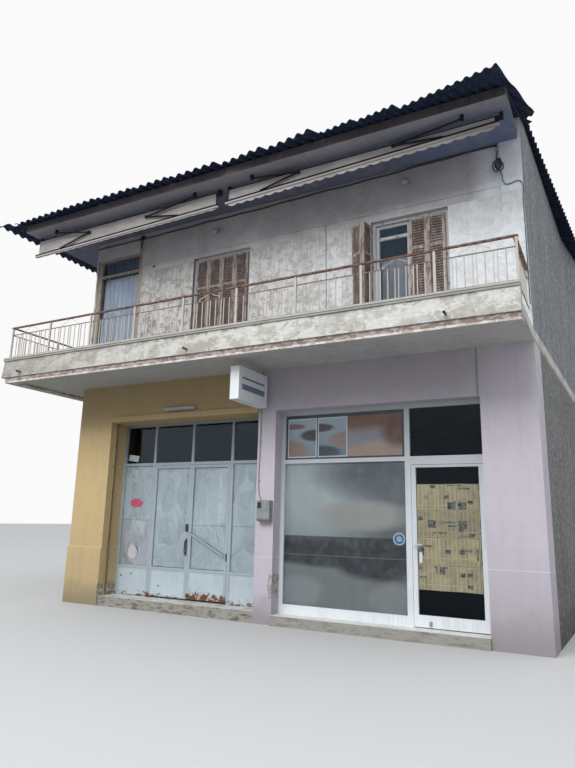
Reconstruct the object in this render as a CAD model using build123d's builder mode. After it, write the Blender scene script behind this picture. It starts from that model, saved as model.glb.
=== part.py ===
from build123d import *
import math
import os

# Two-storey house in a street: two shops below, one flat with a wrap-round balcony above.
# X runs right along the street front, Y runs back into the house, Z is up. Millimetres.
# Origin: left corner of the ground-floor front, at the lowest level the walls stand on.

# Driving sizes
house_width = 8300
house_depth = 8400
splay_depth = 4866
splay_front_deg = 2.5
splay_rear_deg = 8.5
front_wall = 500
side_wall = 300
upper_wall = 250
seat = 0.3

floor_level = 135
soffit_level = 3968
upper_floor_level = 4168
beam_level = 6380
roof_soffit_level = 7055
roof_slab_level = 7195
right_wall_level = 7490

pier_width = 814
pillar_left = 4028
pillar_right = 4353
right_pier_left = 7556
dado_level = 977
dado_proud = 20
left_opening_head = 3263
ledge_height = 95
ledge_reach = 45
right_opening_head = 3276

balcony_front = 1199
balcony_left = 780
balcony_drip = 52
kerb_level = 4339
kerb_width = 150
band_level = 4019
band_step = 22
band_step_left = 90
band_lean_left = 15
coping_thickness = 66
coping_reach = 18

upper_front = 48
beam_proud = 14
glazed_left = 44
glazed_right = 1222
glazed_head = 6680
window_one_left = 2480
window_one_right = 3716
window_one_head = 6290
window_two_left = 5980
window_two_right = 7210
window_two_head = 6250
rear_sill = 5100
rear_head = 6300
rear_window_width = 1100

overhang_front = 1044
overhang_left = 913
overhang_right = 8259
overhang_rear = 300
roof_pitch = 14
deck_thickness = 60
sheet_crest_level = 7256
sheet_thickness = 8
wave_depth = 51
eave_row_end = 380
sheet_reach_left = 375
sheet_reach_rear = 130
sheet_reach_right = 30
sheet_wave = 177
cap_width = 300
cap_thickness = 4

knuckle_radius = 8
knuckle_length = 45
knuckle_gap = 0.4

pitch_angle = math.radians(roof_pitch)
slope = math.tan(pitch_angle)
sheet_rise = (seat + sheet_thickness + wave_depth) / math.cos(pitch_angle)
deck_level = sheet_crest_level - sheet_rise


def right_face(y):
    """X of the outer face of the splayed right wall at depth y."""
    x = house_width + math.tan(math.radians(splay_front_deg)) * min(y, splay_depth)
    return x + math.tan(math.radians(splay_rear_deg)) * max(y - splay_depth, 0)


roof_rear = house_depth + overhang_rear
right_chord = right_face(house_depth) - right_face(0)


def hip_cut(origin, uphill, drop):
    """Plane of one roof slope through origin, rising towards uphill, lowered by drop."""
    normal = Vector(-uphill.X * slope, -uphill.Y * slope, 1)
    return Plane(origin=Vector(*origin) - Vector(0, 0, drop), z_dir=normal)


def hip_slopes(drop):
    """The four roof slopes, front, left, rear and right, lowered by drop."""
    right_uphill = Vector(-house_depth, right_chord, 0).normalized()
    return (
        hip_cut((0, -overhang_front, deck_level), Vector(0, 1, 0), drop),
        hip_cut((-overhang_left, 0, deck_level), Vector(1, 0, 0), drop),
        hip_cut((0, roof_rear, deck_level), Vector(0, -1, 0), drop),
        hip_cut((right_face(0), 0, right_wall_level + deck_thickness), right_uphill, drop),
    )


def block(x0, x1, y0, y1, z0, z1, mode=Mode.ADD):
    """Plain block between two corners, added to the part being built."""
    with Locations(((x0 + x1) / 2, (y0 + y1) / 2, (z0 + z1) / 2)):
        Box(x1 - x0, y1 - y0, z1 - z0, mode=mode)


def rod(start, end, radius):
    """Round bar from start to end, added to the part being built."""
    a = Vector(*start)
    b = Vector(*end)
    with Locations(Plane(origin=(a + b) / 2, z_dir=b - a)):
        Cylinder(radius, (b - a).length)


def knuckle(x, y, z, side, face):
    """One hinge knuckle on the axis (x, y) from level z up, with its flap to side and to face."""
    with Locations((x, y, z + knuckle_length / 2)):
        Cylinder(knuckle_radius, knuckle_length)
    block(min(x, x + side * 36), max(x, x + side * 36), face, y, z, z + knuckle_length)


def front_plane(y):
    """Upright plane at depth y, seen from the street: X to the right, Z up."""
    return Plane(origin=(0, y, 0), x_dir=(1, 0, 0), z_dir=(0, -1, 0))


os.makedirs("parts", exist_ok=True)

# Ground storey
with BuildPart() as yellow_pier:
    block(0, pier_width, 0, front_wall, 0, soffit_level)
    block(-dado_proud, pier_width, -dado_proud, 0, 0, dado_level)
    block(-dado_proud, 0, 0, front_wall, 0, dado_level)
yellow_pier.part.label = "yellow_pier"
export_step(yellow_pier.part, "parts/yellow_pier.step")

with BuildPart() as left_shop_lintel:
    with BuildSketch(Plane.YZ.offset(pier_width)):
        with Locations((front_wall / 2, (left_opening_head + soffit_level) / 2)):
            Rectangle(front_wall, soffit_level - left_opening_head)
        with Locations((-ledge_reach / 2, left_opening_head + ledge_height / 2)):
            Rectangle(ledge_reach, ledge_height)
    extrude(amount=pillar_left - pier_width)
    ledge_corner = left_shop_lintel.edges().filter_by(Axis.Z).group_by(Axis.Y)[0].sort_by(Axis.X)[0]
    fillet(ledge_corner, ledge_reach * 0.8)
left_shop_lintel.part.label = "left_shop_lintel"
export_step(left_shop_lintel.part, "parts/left_shop_lintel.step")

with BuildPart() as mauve_pillar:
    block(pillar_left, pillar_right, 0, front_wall, 0, soffit_level)
mauve_pillar.part.label = "mauve_pillar"
export_step(mauve_pillar.part, "parts/mauve_pillar.step")

with BuildPart() as right_shop_lintel:
    block(pillar_right, right_pier_left, 0, front_wall, right_opening_head, soffit_level)
right_shop_lintel.part.label = "right_shop_lintel"
export_step(right_shop_lintel.part, "parts/right_shop_lintel.step")

with BuildPart() as right_front_pier:
    with BuildSketch():
        with BuildLine():
            Polyline(
                (right_pier_left, 0),
                (right_face(0), 0),
                (right_face(front_wall), front_wall),
                (right_pier_left, front_wall),
                close=True,
            )
        make_face()
    extrude(amount=soffit_level)
right_front_pier.part.label = "right_front_pier"
export_step(right_front_pier.part, "parts/right_front_pier.step")

with BuildPart() as ground_left_wall:
    block(0, side_wall, front_wall, house_depth, 0, soffit_level)
ground_left_wall.part.label = "ground_left_wall"
export_step(ground_left_wall.part, "parts/ground_left_wall.step")

with BuildPart() as ground_right_wall:
    with BuildSketch():
        with BuildLine():
            Polyline(
                (right_face(front_wall), front_wall),
                (right_face(splay_depth), splay_depth),
                (right_face(house_depth), house_depth),
                (right_face(house_depth) - side_wall, house_depth),
                (right_face(splay_depth) - side_wall, splay_depth),
                (right_face(front_wall) - side_wall, front_wall),
                close=True,
            )
        make_face()
    extrude(amount=soffit_level)
ground_right_wall.part.label = "ground_right_wall"
export_step(ground_right_wall.part, "parts/ground_right_wall.step")

rear_front = house_depth - side_wall
rear_windows = (2200, 6300)

with BuildPart() as ground_rear_wall:
    with BuildSketch():
        with BuildLine():
            Polyline(
                (side_wall, rear_front),
                (right_face(rear_front) - side_wall, rear_front),
                (right_face(house_depth) - side_wall, house_depth),
                (side_wall, house_depth),
                close=True,
            )
        make_face()
    extrude(amount=soffit_level)
ground_rear_wall.part.label = "ground_rear_wall"
export_step(ground_rear_wall.part, "parts/ground_rear_wall.step")

with BuildPart() as ground_floor_slab:
    with BuildSketch():
        with BuildLine():
            Polyline(
                (side_wall, front_wall),
                (right_face(front_wall) - side_wall, front_wall),
                (right_face(splay_depth) - side_wall, splay_depth),
                (right_face(rear_front) - side_wall, rear_front),
                (side_wall, rear_front),
                close=True,
            )
        make_face()
    extrude(amount=floor_level)
ground_floor_slab.part.label = "ground_floor_slab"
export_step(ground_floor_slab.part, "parts/ground_floor_slab.step")

# Upper floor slab and balcony
kerb_x = -balcony_left + kerb_width
kerb_y = -balcony_front + kerb_width
band_top_left = -balcony_left - band_step_left + band_lean_left


def kerb_plan(level, front, left):
    """L-shaped plan of the kerb at a level, with its outer faces at front and left."""
    with BuildSketch(Plane.XY.offset(level)) as plan:
        with BuildLine():
            Polyline(
                (left, front),
                (house_width, front),
                (house_width, kerb_y),
                (kerb_x, kerb_y),
                (kerb_x, house_depth),
                (left, house_depth),
                close=True,
            )
        make_face()
    return plan.sketch


with BuildPart() as balcony_slab:
    # floor of the flat and of the balcony, cast in one
    with BuildSketch(Plane.XY.offset(soffit_level)):
        with BuildLine():
            Polyline(
                (-balcony_left, -balcony_front),
                (house_width, -balcony_front),
                (right_face(0), 0),
                (right_face(splay_depth), splay_depth),
                (right_face(house_depth), house_depth),
                (-balcony_left, house_depth),
                close=True,
            )
        make_face()
    extrude(amount=upper_floor_level - soffit_level)
    # drip band along the front and down the left side
    extrude(
        kerb_plan(soffit_level - balcony_drip, -balcony_front, -balcony_left),
        amount=band_level - soffit_level + balcony_drip,
    )
balcony_slab.part.label = "balcony_slab"
export_step(balcony_slab.part, "parts/balcony_slab.step")

with BuildPart() as balcony_kerb:
    # kerb that leans back, its foot proud of the drip band and lapped over the edge of the slab
    lip = kerb_plan(band_level + seat, -balcony_front - band_step, -balcony_left - band_step_left)
    brow = kerb_plan(kerb_level, -balcony_front, band_top_left)
    loft([lip.face(), brow.face()], ruled=True)
    block(
        -balcony_left - seat,
        right_face(house_depth),
        -balcony_front - seat,
        house_depth + seat,
        soffit_level,
        upper_floor_level + seat,
        mode=Mode.SUBTRACT,
    )
    # butt joint between the front run and the side run
    block(
        -balcony_left - band_step_left,
        kerb_x,
        kerb_y,
        kerb_y + seat,
        band_level,
        kerb_level,
        mode=Mode.SUBTRACT,
    )
balcony_kerb.part.label = "balcony_kerb"
export_step(balcony_kerb.part, "parts/balcony_kerb.step")

coping_level = kerb_level + coping_thickness
with BuildPart() as balcony_coping:
    block(
        band_top_left - coping_reach,
        house_width,
        -balcony_front - coping_reach,
        kerb_y + coping_reach,
        kerb_level,
        coping_level,
    )
    block(
        band_top_left - coping_reach,
        kerb_x + coping_reach,
        kerb_y + coping_reach,
        house_depth,
        kerb_level,
        coping_level,
    )
balcony_coping.part.label = "balcony_coping"
export_step(balcony_coping.part, "parts/balcony_coping.step")

spout_level = 4095
spout_places = (-362, 3415, 7413)
spout_bore = 15
spout_wall = 4
spout_reach = 90
spout_clear = 1.6
band_lean = band_step * (kerb_level - spout_level) / (kerb_level - band_level)
with BuildPart() as drain_spouts:
    for spout_x in spout_places:
        mouth = Plane(origin=(spout_x, -balcony_front - band_lean - spout_clear, spout_level), z_dir=(0, -1, 0))
        with Locations(mouth):
            Cylinder(spout_bore + spout_wall, spout_reach, align=(Align.CENTER, Align.CENTER, Align.MIN))
            Cylinder(
                spout_bore,
                spout_reach,
                align=(Align.CENTER, Align.CENTER, Align.MIN),
                mode=Mode.SUBTRACT,
            )
drain_spouts.part.label = "drain_spouts"
export_step(drain_spouts.part, "parts/drain_spouts.step")

# Upper storey walls
upper_back = upper_front + upper_wall
upper_openings = (
    (glazed_left, glazed_right, glazed_head),
    (window_one_left, window_one_right, window_one_head),
    (window_two_left, window_two_right, window_two_head),
)

with BuildPart() as upper_front_wall:
    block(0, house_width - side_wall, upper_front, upper_back, upper_floor_level, roof_soffit_level)
    block(
        0,
        house_width - side_wall,
        upper_front - beam_proud,
        upper_front,
        beam_level,
        roof_soffit_level,
    )
    for x0, x1, head in upper_openings:
        block(x0, x1, 0, upper_back, upper_floor_level, head, mode=Mode.SUBTRACT)
upper_front_wall.part.label = "upper_front_wall"
export_step(upper_front_wall.part, "parts/upper_front_wall.step")

side_door_front = 3000
side_door_width = 1236
with BuildPart() as upper_left_wall:
    block(0, upper_wall, upper_back, house_depth, upper_floor_level, roof_soffit_level)
    block(
        0,
        upper_wall,
        side_door_front,
        side_door_front + side_door_width,
        upper_floor_level,
        window_one_head,
        mode=Mode.SUBTRACT,
    )
upper_left_wall.part.label = "upper_left_wall"
export_step(upper_left_wall.part, "parts/upper_left_wall.step")

with BuildPart() as upper_right_wall:
    with BuildSketch(Plane.XY.offset(upper_floor_level)):
        with BuildLine():
            Polyline(
                (right_face(0), 0),
                (right_face(splay_depth), splay_depth),
                (right_face(house_depth), house_depth),
                (right_face(house_depth) - side_wall, house_depth),
                (right_face(splay_depth) - side_wall, splay_depth),
                (right_face(0) - side_wall, 0),
                close=True,
            )
        make_face()
    extrude(amount=2 * (right_wall_level - upper_floor_level))
    # top cut to lie under the roof on every side
    for cut in hip_slopes(deck_thickness + seat):
        split(bisect_by=cut, keep=Keep.BOTTOM)
upper_right_wall.part.label = "upper_right_wall"
export_step(upper_right_wall.part, "parts/upper_right_wall.step")

with BuildPart() as upper_rear_wall:
    with BuildSketch(Plane.XY.offset(upper_floor_level)):
        with BuildLine():
            Polyline(
                (upper_wall, rear_front),
                (right_face(rear_front) - side_wall, rear_front),
                (right_face(house_depth) - side_wall, house_depth),
                (upper_wall, house_depth),
                close=True,
            )
        make_face()
    extrude(amount=roof_soffit_level - upper_floor_level)
    for x0 in rear_windows:
        block(
            x0,
            x0 + rear_window_width,
            rear_front - 1,
            house_depth + 1,
            rear_sill,
            rear_head,
            mode=Mode.SUBTRACT,
        )
upper_rear_wall.part.label = "upper_rear_wall"
export_step(upper_rear_wall.part, "parts/upper_rear_wall.step")

# Roof
with BuildPart() as roof_slab:
    with BuildSketch(Plane.XY.offset(roof_soffit_level)):
        with BuildLine():
            Polyline(
                (-overhang_left, -overhang_front),
                (overhang_right, -overhang_front),
                (overhang_right, -seat),
                (right_face(0) - side_wall - seat, -seat),
                (right_face(splay_depth) - side_wall - seat, splay_depth),
                (right_face(house_depth) - side_wall - seat, house_depth),
                (right_face(house_depth) - side_wall - seat, roof_rear),
                (-overhang_left, roof_rear),
                close=True,
            )
        make_face()
    extrude(amount=roof_slab_level - roof_soffit_level)
roof_slab.part.label = "roof_slab"
export_step(roof_slab.part, "parts/roof_slab.step")

with BuildPart() as deck_core:
    with BuildSketch(Plane.XY.offset(roof_slab_level)):
        with BuildLine():
            Polyline(
                (-overhang_left, -overhang_front),
                (overhang_right, -overhang_front),
                (right_face(0), 0),
                (right_face(splay_depth), splay_depth),
                (right_face(house_depth), house_depth),
                (right_face(house_depth), roof_rear),
                (-overhang_left, roof_rear),
                close=True,
            )
        make_face()
    extrude(amount=2500)
    for cut in hip_slopes(deck_thickness):
        split(bisect_by=cut, keep=Keep.BOTTOM)

with BuildPart() as main_roof:
    with BuildSketch(Plane.XY.offset(roof_slab_level)):
        with BuildLine():
            Polyline(
                (-overhang_left, -overhang_front),
                (overhang_right, -overhang_front),
                (right_face(0), 0),
                (right_face(splay_depth), splay_depth),
                (right_face(house_depth), house_depth),
                (right_face(house_depth), roof_rear),
                (-overhang_left, roof_rear),
                close=True,
            )
        make_face()
    extrude(amount=2500)
    for cut in hip_slopes(0):
        split(bisect_by=cut, keep=Keep.BOTTOM)
    add(deck_core.part, mode=Mode.SUBTRACT)
main_roof.part.label = "main_roof"
export_step(main_roof.part, "parts/main_roof.step")


ridge_y = (roof_rear - overhang_front) / 2
ridge_level = deck_level + slope * (ridge_y + overhang_front)
right_uphill = Vector(-house_depth, right_chord, 0).normalized()
hip_rise = (right_wall_level + deck_thickness - deck_level) / slope
ridge_reach = (ridge_level - right_wall_level - deck_thickness) / slope
ridge_left = (ridge_y + overhang_front - overhang_left, ridge_y)
ridge_right = (house_width + (ridge_reach - ridge_y * right_uphill.Y) / right_uphill.X, ridge_y)
front_right_y = hip_rise - overhang_front
front_right_corner = (house_width + right_chord * front_right_y / house_depth, front_right_y)
rear_right_y = roof_rear - hip_rise
rear_right_corner = (house_width + right_chord * rear_right_y / house_depth, rear_right_y)

left_front_hip = Plane(origin=(-overhang_left, -overhang_front, 0), z_dir=(1, -1, 0))
left_rear_hip = Plane(origin=(-overhang_left, roof_rear, 0), z_dir=(1, 1, 0))
right_front_hip = Plane(
    origin=(*front_right_corner, 0),
    z_dir=Vector(-right_uphill.X, 1 - right_uphill.Y, 0),
)
right_rear_hip = Plane(
    origin=(*rear_right_corner, 0),
    z_dir=Vector(right_uphill.X, 1 + right_uphill.Y, 0),
)


def wave_section(foot, along, uphill, pitch, depth, count):
    """Square section of a corrugated sheet whose waves start over the deck point foot."""
    normal = along.cross(uphill).normalized()
    origin = foot + normal * (seat + sheet_thickness + depth / 2)
    half = pitch / 2
    with BuildSketch(Plane(origin=origin, x_dir=along, z_dir=-uphill)) as strip:
        with BuildLine():
            for level in (0, -sheet_thickness):
                for k in range(2 * count):
                    peak = depth / 2 if k % 2 == 0 else -depth / 2
                    ThreePointArc(
                        (k * half, level),
                        ((k + 0.5) * half, level + peak),
                        ((k + 1) * half, level),
                    )
            Line((0, 0), (0, -sheet_thickness))
            Line((2 * count * half, 0), (2 * count * half, -sheet_thickness))
        make_face()
    return strip.sketch


def sheet_run(turn):
    """Directions along the eave edge and up the front slope of a sheet turned by turn degrees."""
    angle = math.radians(turn)
    along = Vector(math.cos(angle), -math.sin(angle), -slope * math.sin(angle)).normalized()
    return along, Vector(0, -slope, 1).cross(along).normalized()


def sheet_edge(x, y, turn, pitch):
    """Upright plane along the left edge of a sheet whose first crest stands at (x, y)."""
    along, uphill = sheet_run(turn)
    corner = Vector(x, y, 0) - along * (pitch * 0.5)
    return Plane(origin=corner, z_dir=Vector(uphill.Y, -uphill.X, 0))


# sheets of the eave row: first crest x and y, turn of the eave in degrees, crests, pitch, depth
front_sheets = (
    (-1040, -1212, 2.4, 13, 178, 51),
    (1212, -1259, 1.5, 5, 183, 51),
    (2042, -1240, 3.0, 5, 181, 51),
    (2862, -1231, 3.7, 6, 182, 51),
    (3921, -1183, 10.6, 5, 186, 51),
    (4818, -1240, 13.6, 5, 185, 51),
    (5667, -1231, 12.2, 5, 131, 32),
    (6325, -1288, 12.7, 5, 127, 32),
    (6964, -1288, 15.9, 11, 132, 32),
)
verge_x = 8243
verge_y = -1641
verge_turn = 8.1
sheet_gap = 1

with BuildPart() as front_roof_sheets:
    # eave row, laid by hand, each sheet turned a little and cut at its neighbour
    for number, (x, y, turn, crests, pitch, depth) in enumerate(front_sheets):
        along, uphill = sheet_run(turn)
        first = Vector(x, y, 0) - along * (pitch * 1.25)
        foot_y = first.Y + (seat + sheet_thickness + depth) * math.sin(pitch_angle)
        foot = Vector(first.X, foot_y, deck_level + slope * (foot_y + overhang_front))
        strip = wave_section(foot, along, uphill, pitch, depth, crests + 3)
        with BuildPart(mode=Mode.PRIVATE) as sheet:
            extrude(strip, amount=2 * eave_row_end - 2 * y, dir=uphill)
            split(bisect_by=Plane(origin=(0, eave_row_end, 0), z_dir=(0, 1, 0)), keep=Keep.BOTTOM)
            if number == 0:
                split(bisect_by=left_front_hip, keep=Keep.TOP)
            else:
                split(bisect_by=sheet_edge(x, y, turn, pitch), keep=Keep.TOP)
            if number + 1 < len(front_sheets):
                next_x, next_y, next_turn, _, next_pitch, _ = front_sheets[number + 1]
                neighbour = sheet_edge(next_x, next_y, next_turn, next_pitch).offset(-sheet_gap)
                split(bisect_by=neighbour, keep=Keep.BOTTOM)
            else:
                verge = math.radians(verge_turn)
                verge_side = Vector(math.cos(verge), -math.sin(verge), 0)
                verge_plane = Plane(origin=(verge_x, verge_y, 0), z_dir=verge_side)
                split(bisect_by=verge_plane, keep=Keep.BOTTOM)
                split(bisect_by=right_front_hip.offset(-sheet_gap), keep=Keep.BOTTOM)
        add(sheet.part)
    # upper rows up to the ridge
    upper_y = eave_row_end + sheet_gap
    upper_along = Vector(1, 0, 0)
    upper_uphill = Vector(0, 1, slope).normalized()
    upper_foot = Vector(-overhang_left, upper_y, deck_level + slope * (upper_y + overhang_front))
    upper_count = math.ceil((house_width + overhang_left) / sheet_wave)
    upper_strip = wave_section(upper_foot, upper_along, upper_uphill, sheet_wave, wave_depth, upper_count)
    with BuildPart(mode=Mode.PRIVATE) as upper_rows:
        extrude(upper_strip, amount=(ridge_y - upper_y) / math.cos(pitch_angle), dir=upper_uphill)
        split(bisect_by=left_front_hip, keep=Keep.TOP)
        split(bisect_by=right_front_hip.offset(-sheet_gap), keep=Keep.BOTTOM)
        split(bisect_by=Plane(origin=(0, ridge_y - sheet_gap, 0), z_dir=(0, 1, 0)), keep=Keep.BOTTOM)
        split(bisect_by=Plane(origin=(0, upper_y, 0), z_dir=(0, 1, 0)), keep=Keep.TOP)
    add(upper_rows.part)
front_roof_sheets.part.label = "front_roof_sheets"
export_step(front_roof_sheets.part, "parts/front_roof_sheets.step")

left_eave = -overhang_left - sheet_reach_left
rear_eave = roof_rear + sheet_reach_rear
left_count = math.ceil((rear_eave + overhang_front + sheet_reach_left) / sheet_wave)
with BuildPart() as left_roof_sheets:
    left_uphill = Vector(1, 0, slope).normalized()
    left_level = deck_level + slope * (left_eave + overhang_left)
    left_foot = Vector(left_eave, -overhang_front - sheet_reach_left + left_count * sheet_wave, left_level)
    left_strip = wave_section(left_foot, Vector(0, -1, 0), left_uphill, sheet_wave, wave_depth, left_count)
    extrude(left_strip, amount=(ridge_left[0] - left_eave) / math.cos(pitch_angle), dir=left_uphill)
    split(bisect_by=left_front_hip.offset(-sheet_gap), keep=Keep.BOTTOM)
    split(bisect_by=left_rear_hip.offset(-sheet_gap), keep=Keep.BOTTOM)
left_roof_sheets.part.label = "left_roof_sheets"
export_step(left_roof_sheets.part, "parts/left_roof_sheets.step")

with BuildPart() as rear_roof_sheets:
    rear_uphill = Vector(0, -1, slope).normalized()
    rear_level = deck_level - slope * sheet_reach_rear
    rear_count = math.ceil((right_face(house_depth) - left_eave) / sheet_wave)
    rear_foot = Vector(left_eave + rear_count * sheet_wave, rear_eave, rear_level)
    rear_strip = wave_section(rear_foot, Vector(-1, 0, 0), rear_uphill, sheet_wave, wave_depth, rear_count)
    extrude(rear_strip, amount=(rear_eave - ridge_y) / math.cos(pitch_angle), dir=rear_uphill)
    split(bisect_by=left_rear_hip, keep=Keep.TOP)
    split(bisect_by=right_rear_hip, keep=Keep.TOP)
    split(bisect_by=Plane(origin=(0, ridge_y + sheet_gap, 0), z_dir=(0, 1, 0)), keep=Keep.TOP)
    wall_side = math.radians(splay_rear_deg)
    wall_edge = Plane(
        origin=(right_face(house_depth) - sheet_gap, house_depth, 0),
        z_dir=(math.cos(wall_side), -math.sin(wall_side), 0),
    )
    split(bisect_by=wall_edge, keep=Keep.BOTTOM)
rear_roof_sheets.part.label = "rear_roof_sheets"
export_step(rear_roof_sheets.part, "parts/rear_roof_sheets.step")

with BuildPart() as right_roof_sheets:
    wall_run = Vector(right_chord, house_depth, 0).normalized()
    right_start = Vector(house_width, 0, 0) - right_uphill * sheet_reach_right
    right_level = right_wall_level + deck_thickness - slope * sheet_reach_right
    right_foot = Vector(right_start.X, right_start.Y, right_level)
    right_count = math.ceil(house_depth / sheet_wave)
    uphill = Vector(right_uphill.X, right_uphill.Y, slope).normalized()
    right_strip = wave_section(right_foot, wall_run, uphill, sheet_wave, wave_depth, right_count)
    extrude(right_strip, amount=(ridge_reach + sheet_reach_right) / math.cos(pitch_angle), dir=uphill)
    split(bisect_by=right_front_hip, keep=Keep.TOP)
    split(bisect_by=right_rear_hip.offset(-sheet_gap), keep=Keep.BOTTOM)
right_roof_sheets.part.label = "right_roof_sheets"
export_step(right_roof_sheets.part, "parts/right_roof_sheets.step")

# folded sheet caps over the ridge and the four hips
cap_lines = (
    (ridge_left, ridge_right),
    ((-overhang_left, -overhang_front), ridge_left),
    ((-overhang_left, roof_rear), ridge_left),
    (front_right_corner, ridge_right),
    (rear_right_corner, ridge_right),
)
with BuildPart() as cap_core:
    block(
        -overhang_left - cap_width,
        right_face(house_depth) + cap_width,
        -overhang_front - cap_width,
        roof_rear + cap_width,
        0,
        2 * ridge_level,
    )
    for cut in hip_slopes(-sheet_rise - seat):
        split(bisect_by=cut, keep=Keep.BOTTOM)
with BuildPart() as ridge_caps:
    for (x0, y0), (x1, y1) in cap_lines:
        run = Vector(x1 - x0, y1 - y0, 0)
        middle = Vector((x0 + x1) / 2, (y0 + y1) / 2, ridge_level)
        with Locations(Plane(origin=middle, x_dir=run, z_dir=(0, 0, 1))):
            Box(run.length, cap_width, 4 * (ridge_level - roof_slab_level))
    for cut in hip_slopes(-sheet_rise - seat - cap_thickness):
        split(bisect_by=cut, keep=Keep.BOTTOM)
    add(cap_core.part, mode=Mode.SUBTRACT)
    split(bisect_by=Plane.XY.offset(roof_slab_level), keep=Keep.TOP)
ridge_caps.part.label = "ridge_caps"
export_step(ridge_caps.part, "parts/ridge_caps.step")

# Railing
rail_inset = 83
rail_y = -balcony_front + rail_inset
rail_edge_left = 49
rail_edge_right = 20
rail_x = band_top_left - coping_reach + rail_edge_left
rail_right = house_width - rail_edge_right
handrail_level = 5005
top_bar_level = 4875
low_bar_level = 4440
bays = 9
bay = (rail_right - rail_x) / bays
post_size = 32
bar_size = 14
pair_gap = 50
handrail_width = 50
handrail_thickness = 20
return_bar_step = 132

post_height = handrail_level - coping_level
bar_height = top_bar_level - low_bar_level
bar_middle = (top_bar_level + low_bar_level) / 2
post_middle = (handrail_level + coping_level) / 2


def bar_offsets(length, count):
    """Places of the upright bars along a railing of count bays: single and paired in turn."""
    places = []
    for k in range(count):
        for step in range(1, 8):
            middle = (k + step / 8) * length / count
            if step % 2:
                places.append(middle)
            else:
                places.append(middle - pair_gap / 2)
                places.append(middle + pair_gap / 2)
    return places


with BuildPart() as front_railing:
    with Locations(*[(rail_x + k * bay, rail_y, post_middle) for k in range(bays + 1)]):
        Box(post_size, post_size, post_height)
    with Locations(*[(rail_x + d, rail_y, bar_middle) for d in bar_offsets(rail_right - rail_x, bays)]):
        Box(bar_size, bar_size, bar_height)
    with Locations(*[((rail_x + rail_right) / 2, rail_y, z) for z in (low_bar_level, top_bar_level)]):
        Box(rail_right - rail_x, bar_size, bar_size)
front_railing.part.label = "front_railing"
export_step(front_railing.part, "parts/front_railing.step")

side_start = rail_y + post_size / 2 + seat
side_end = house_depth - 60
side_bays = 9
side_bay = (side_end - side_start) / side_bays
with BuildPart() as side_railings:
    with Locations(*[(rail_x, side_start + k * side_bay, post_middle) for k in range(1, side_bays + 1)]):
        Box(post_size, post_size, post_height)
    side_bars = bar_offsets(side_end - side_start, side_bays)
    with Locations(*[(rail_x, side_start + d, bar_middle) for d in side_bars]):
        Box(bar_size, bar_size, bar_height)
    with Locations(*[(rail_x, (side_start + side_end) / 2, z) for z in (low_bar_level, top_bar_level)]):
        Box(bar_size, side_end - side_start, bar_size)
    # short return at the right-hand end, back to the wall
    right_rail = rail_right - post_size / 2
    with Locations(*[(right_rail, (side_start + 0) / 2 - seat, z) for z in (low_bar_level, top_bar_level)]):
        Box(bar_size, -side_start - seat, bar_size)
    with Locations(*[(right_rail, side_start + k * return_bar_step, bar_middle) for k in range(1, 8)]):
        Box(bar_size, bar_size, bar_height)
side_railings.part.label = "side_railings"
export_step(side_railings.part, "parts/side_railings.step")

half_rail = handrail_width / 2
handrail_top = handrail_level + handrail_thickness
with BuildPart() as handrail:
    block(
        rail_x - half_rail,
        rail_right + half_rail,
        rail_y - half_rail,
        rail_y + half_rail,
        handrail_level,
        handrail_top,
    )
    block(
        rail_x - half_rail,
        rail_x + half_rail,
        rail_y + half_rail,
        side_end + post_size / 2,
        handrail_level,
        handrail_top,
    )
    block(
        right_rail - half_rail,
        right_rail + half_rail,
        rail_y + half_rail,
        -seat,
        handrail_level,
        handrail_top,
    )
handrail.part.label = "handrail"
export_step(handrail.part, "parts/handrail.step")

# Steel shopfront on the left
steel_front = 407
steel_depth = 50
steel_foot = 165
steel_head = left_opening_head - seat
steel_transom = 2505
steel_panel = 662
leaf_left = 1565
leaf_middle = 2433
leaf_right = 3282
leaf_bottom = 190
leaf_gap = 5
stile = 50

leaf_thickness_steel = 40
hinge_left = leaf_left + stile / 2 + leaf_gap / 2
hinge_right = leaf_right - stile / 2 - leaf_gap / 2
steel_hinge_y = steel_front + steel_depth + knuckle_radius + 1
steel_hinges = (400, 1300, 2200)

panel_depth = 8


def panel_recess(x0, x1, z0):
    """Shallow field of a steel panel, pressed back between its stiles and rails."""
    block(
        x0,
        x1,
        steel_front,
        steel_front + panel_depth,
        z0,
        steel_panel - stile / 2,
        mode=Mode.SUBTRACT,
    )


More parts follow.
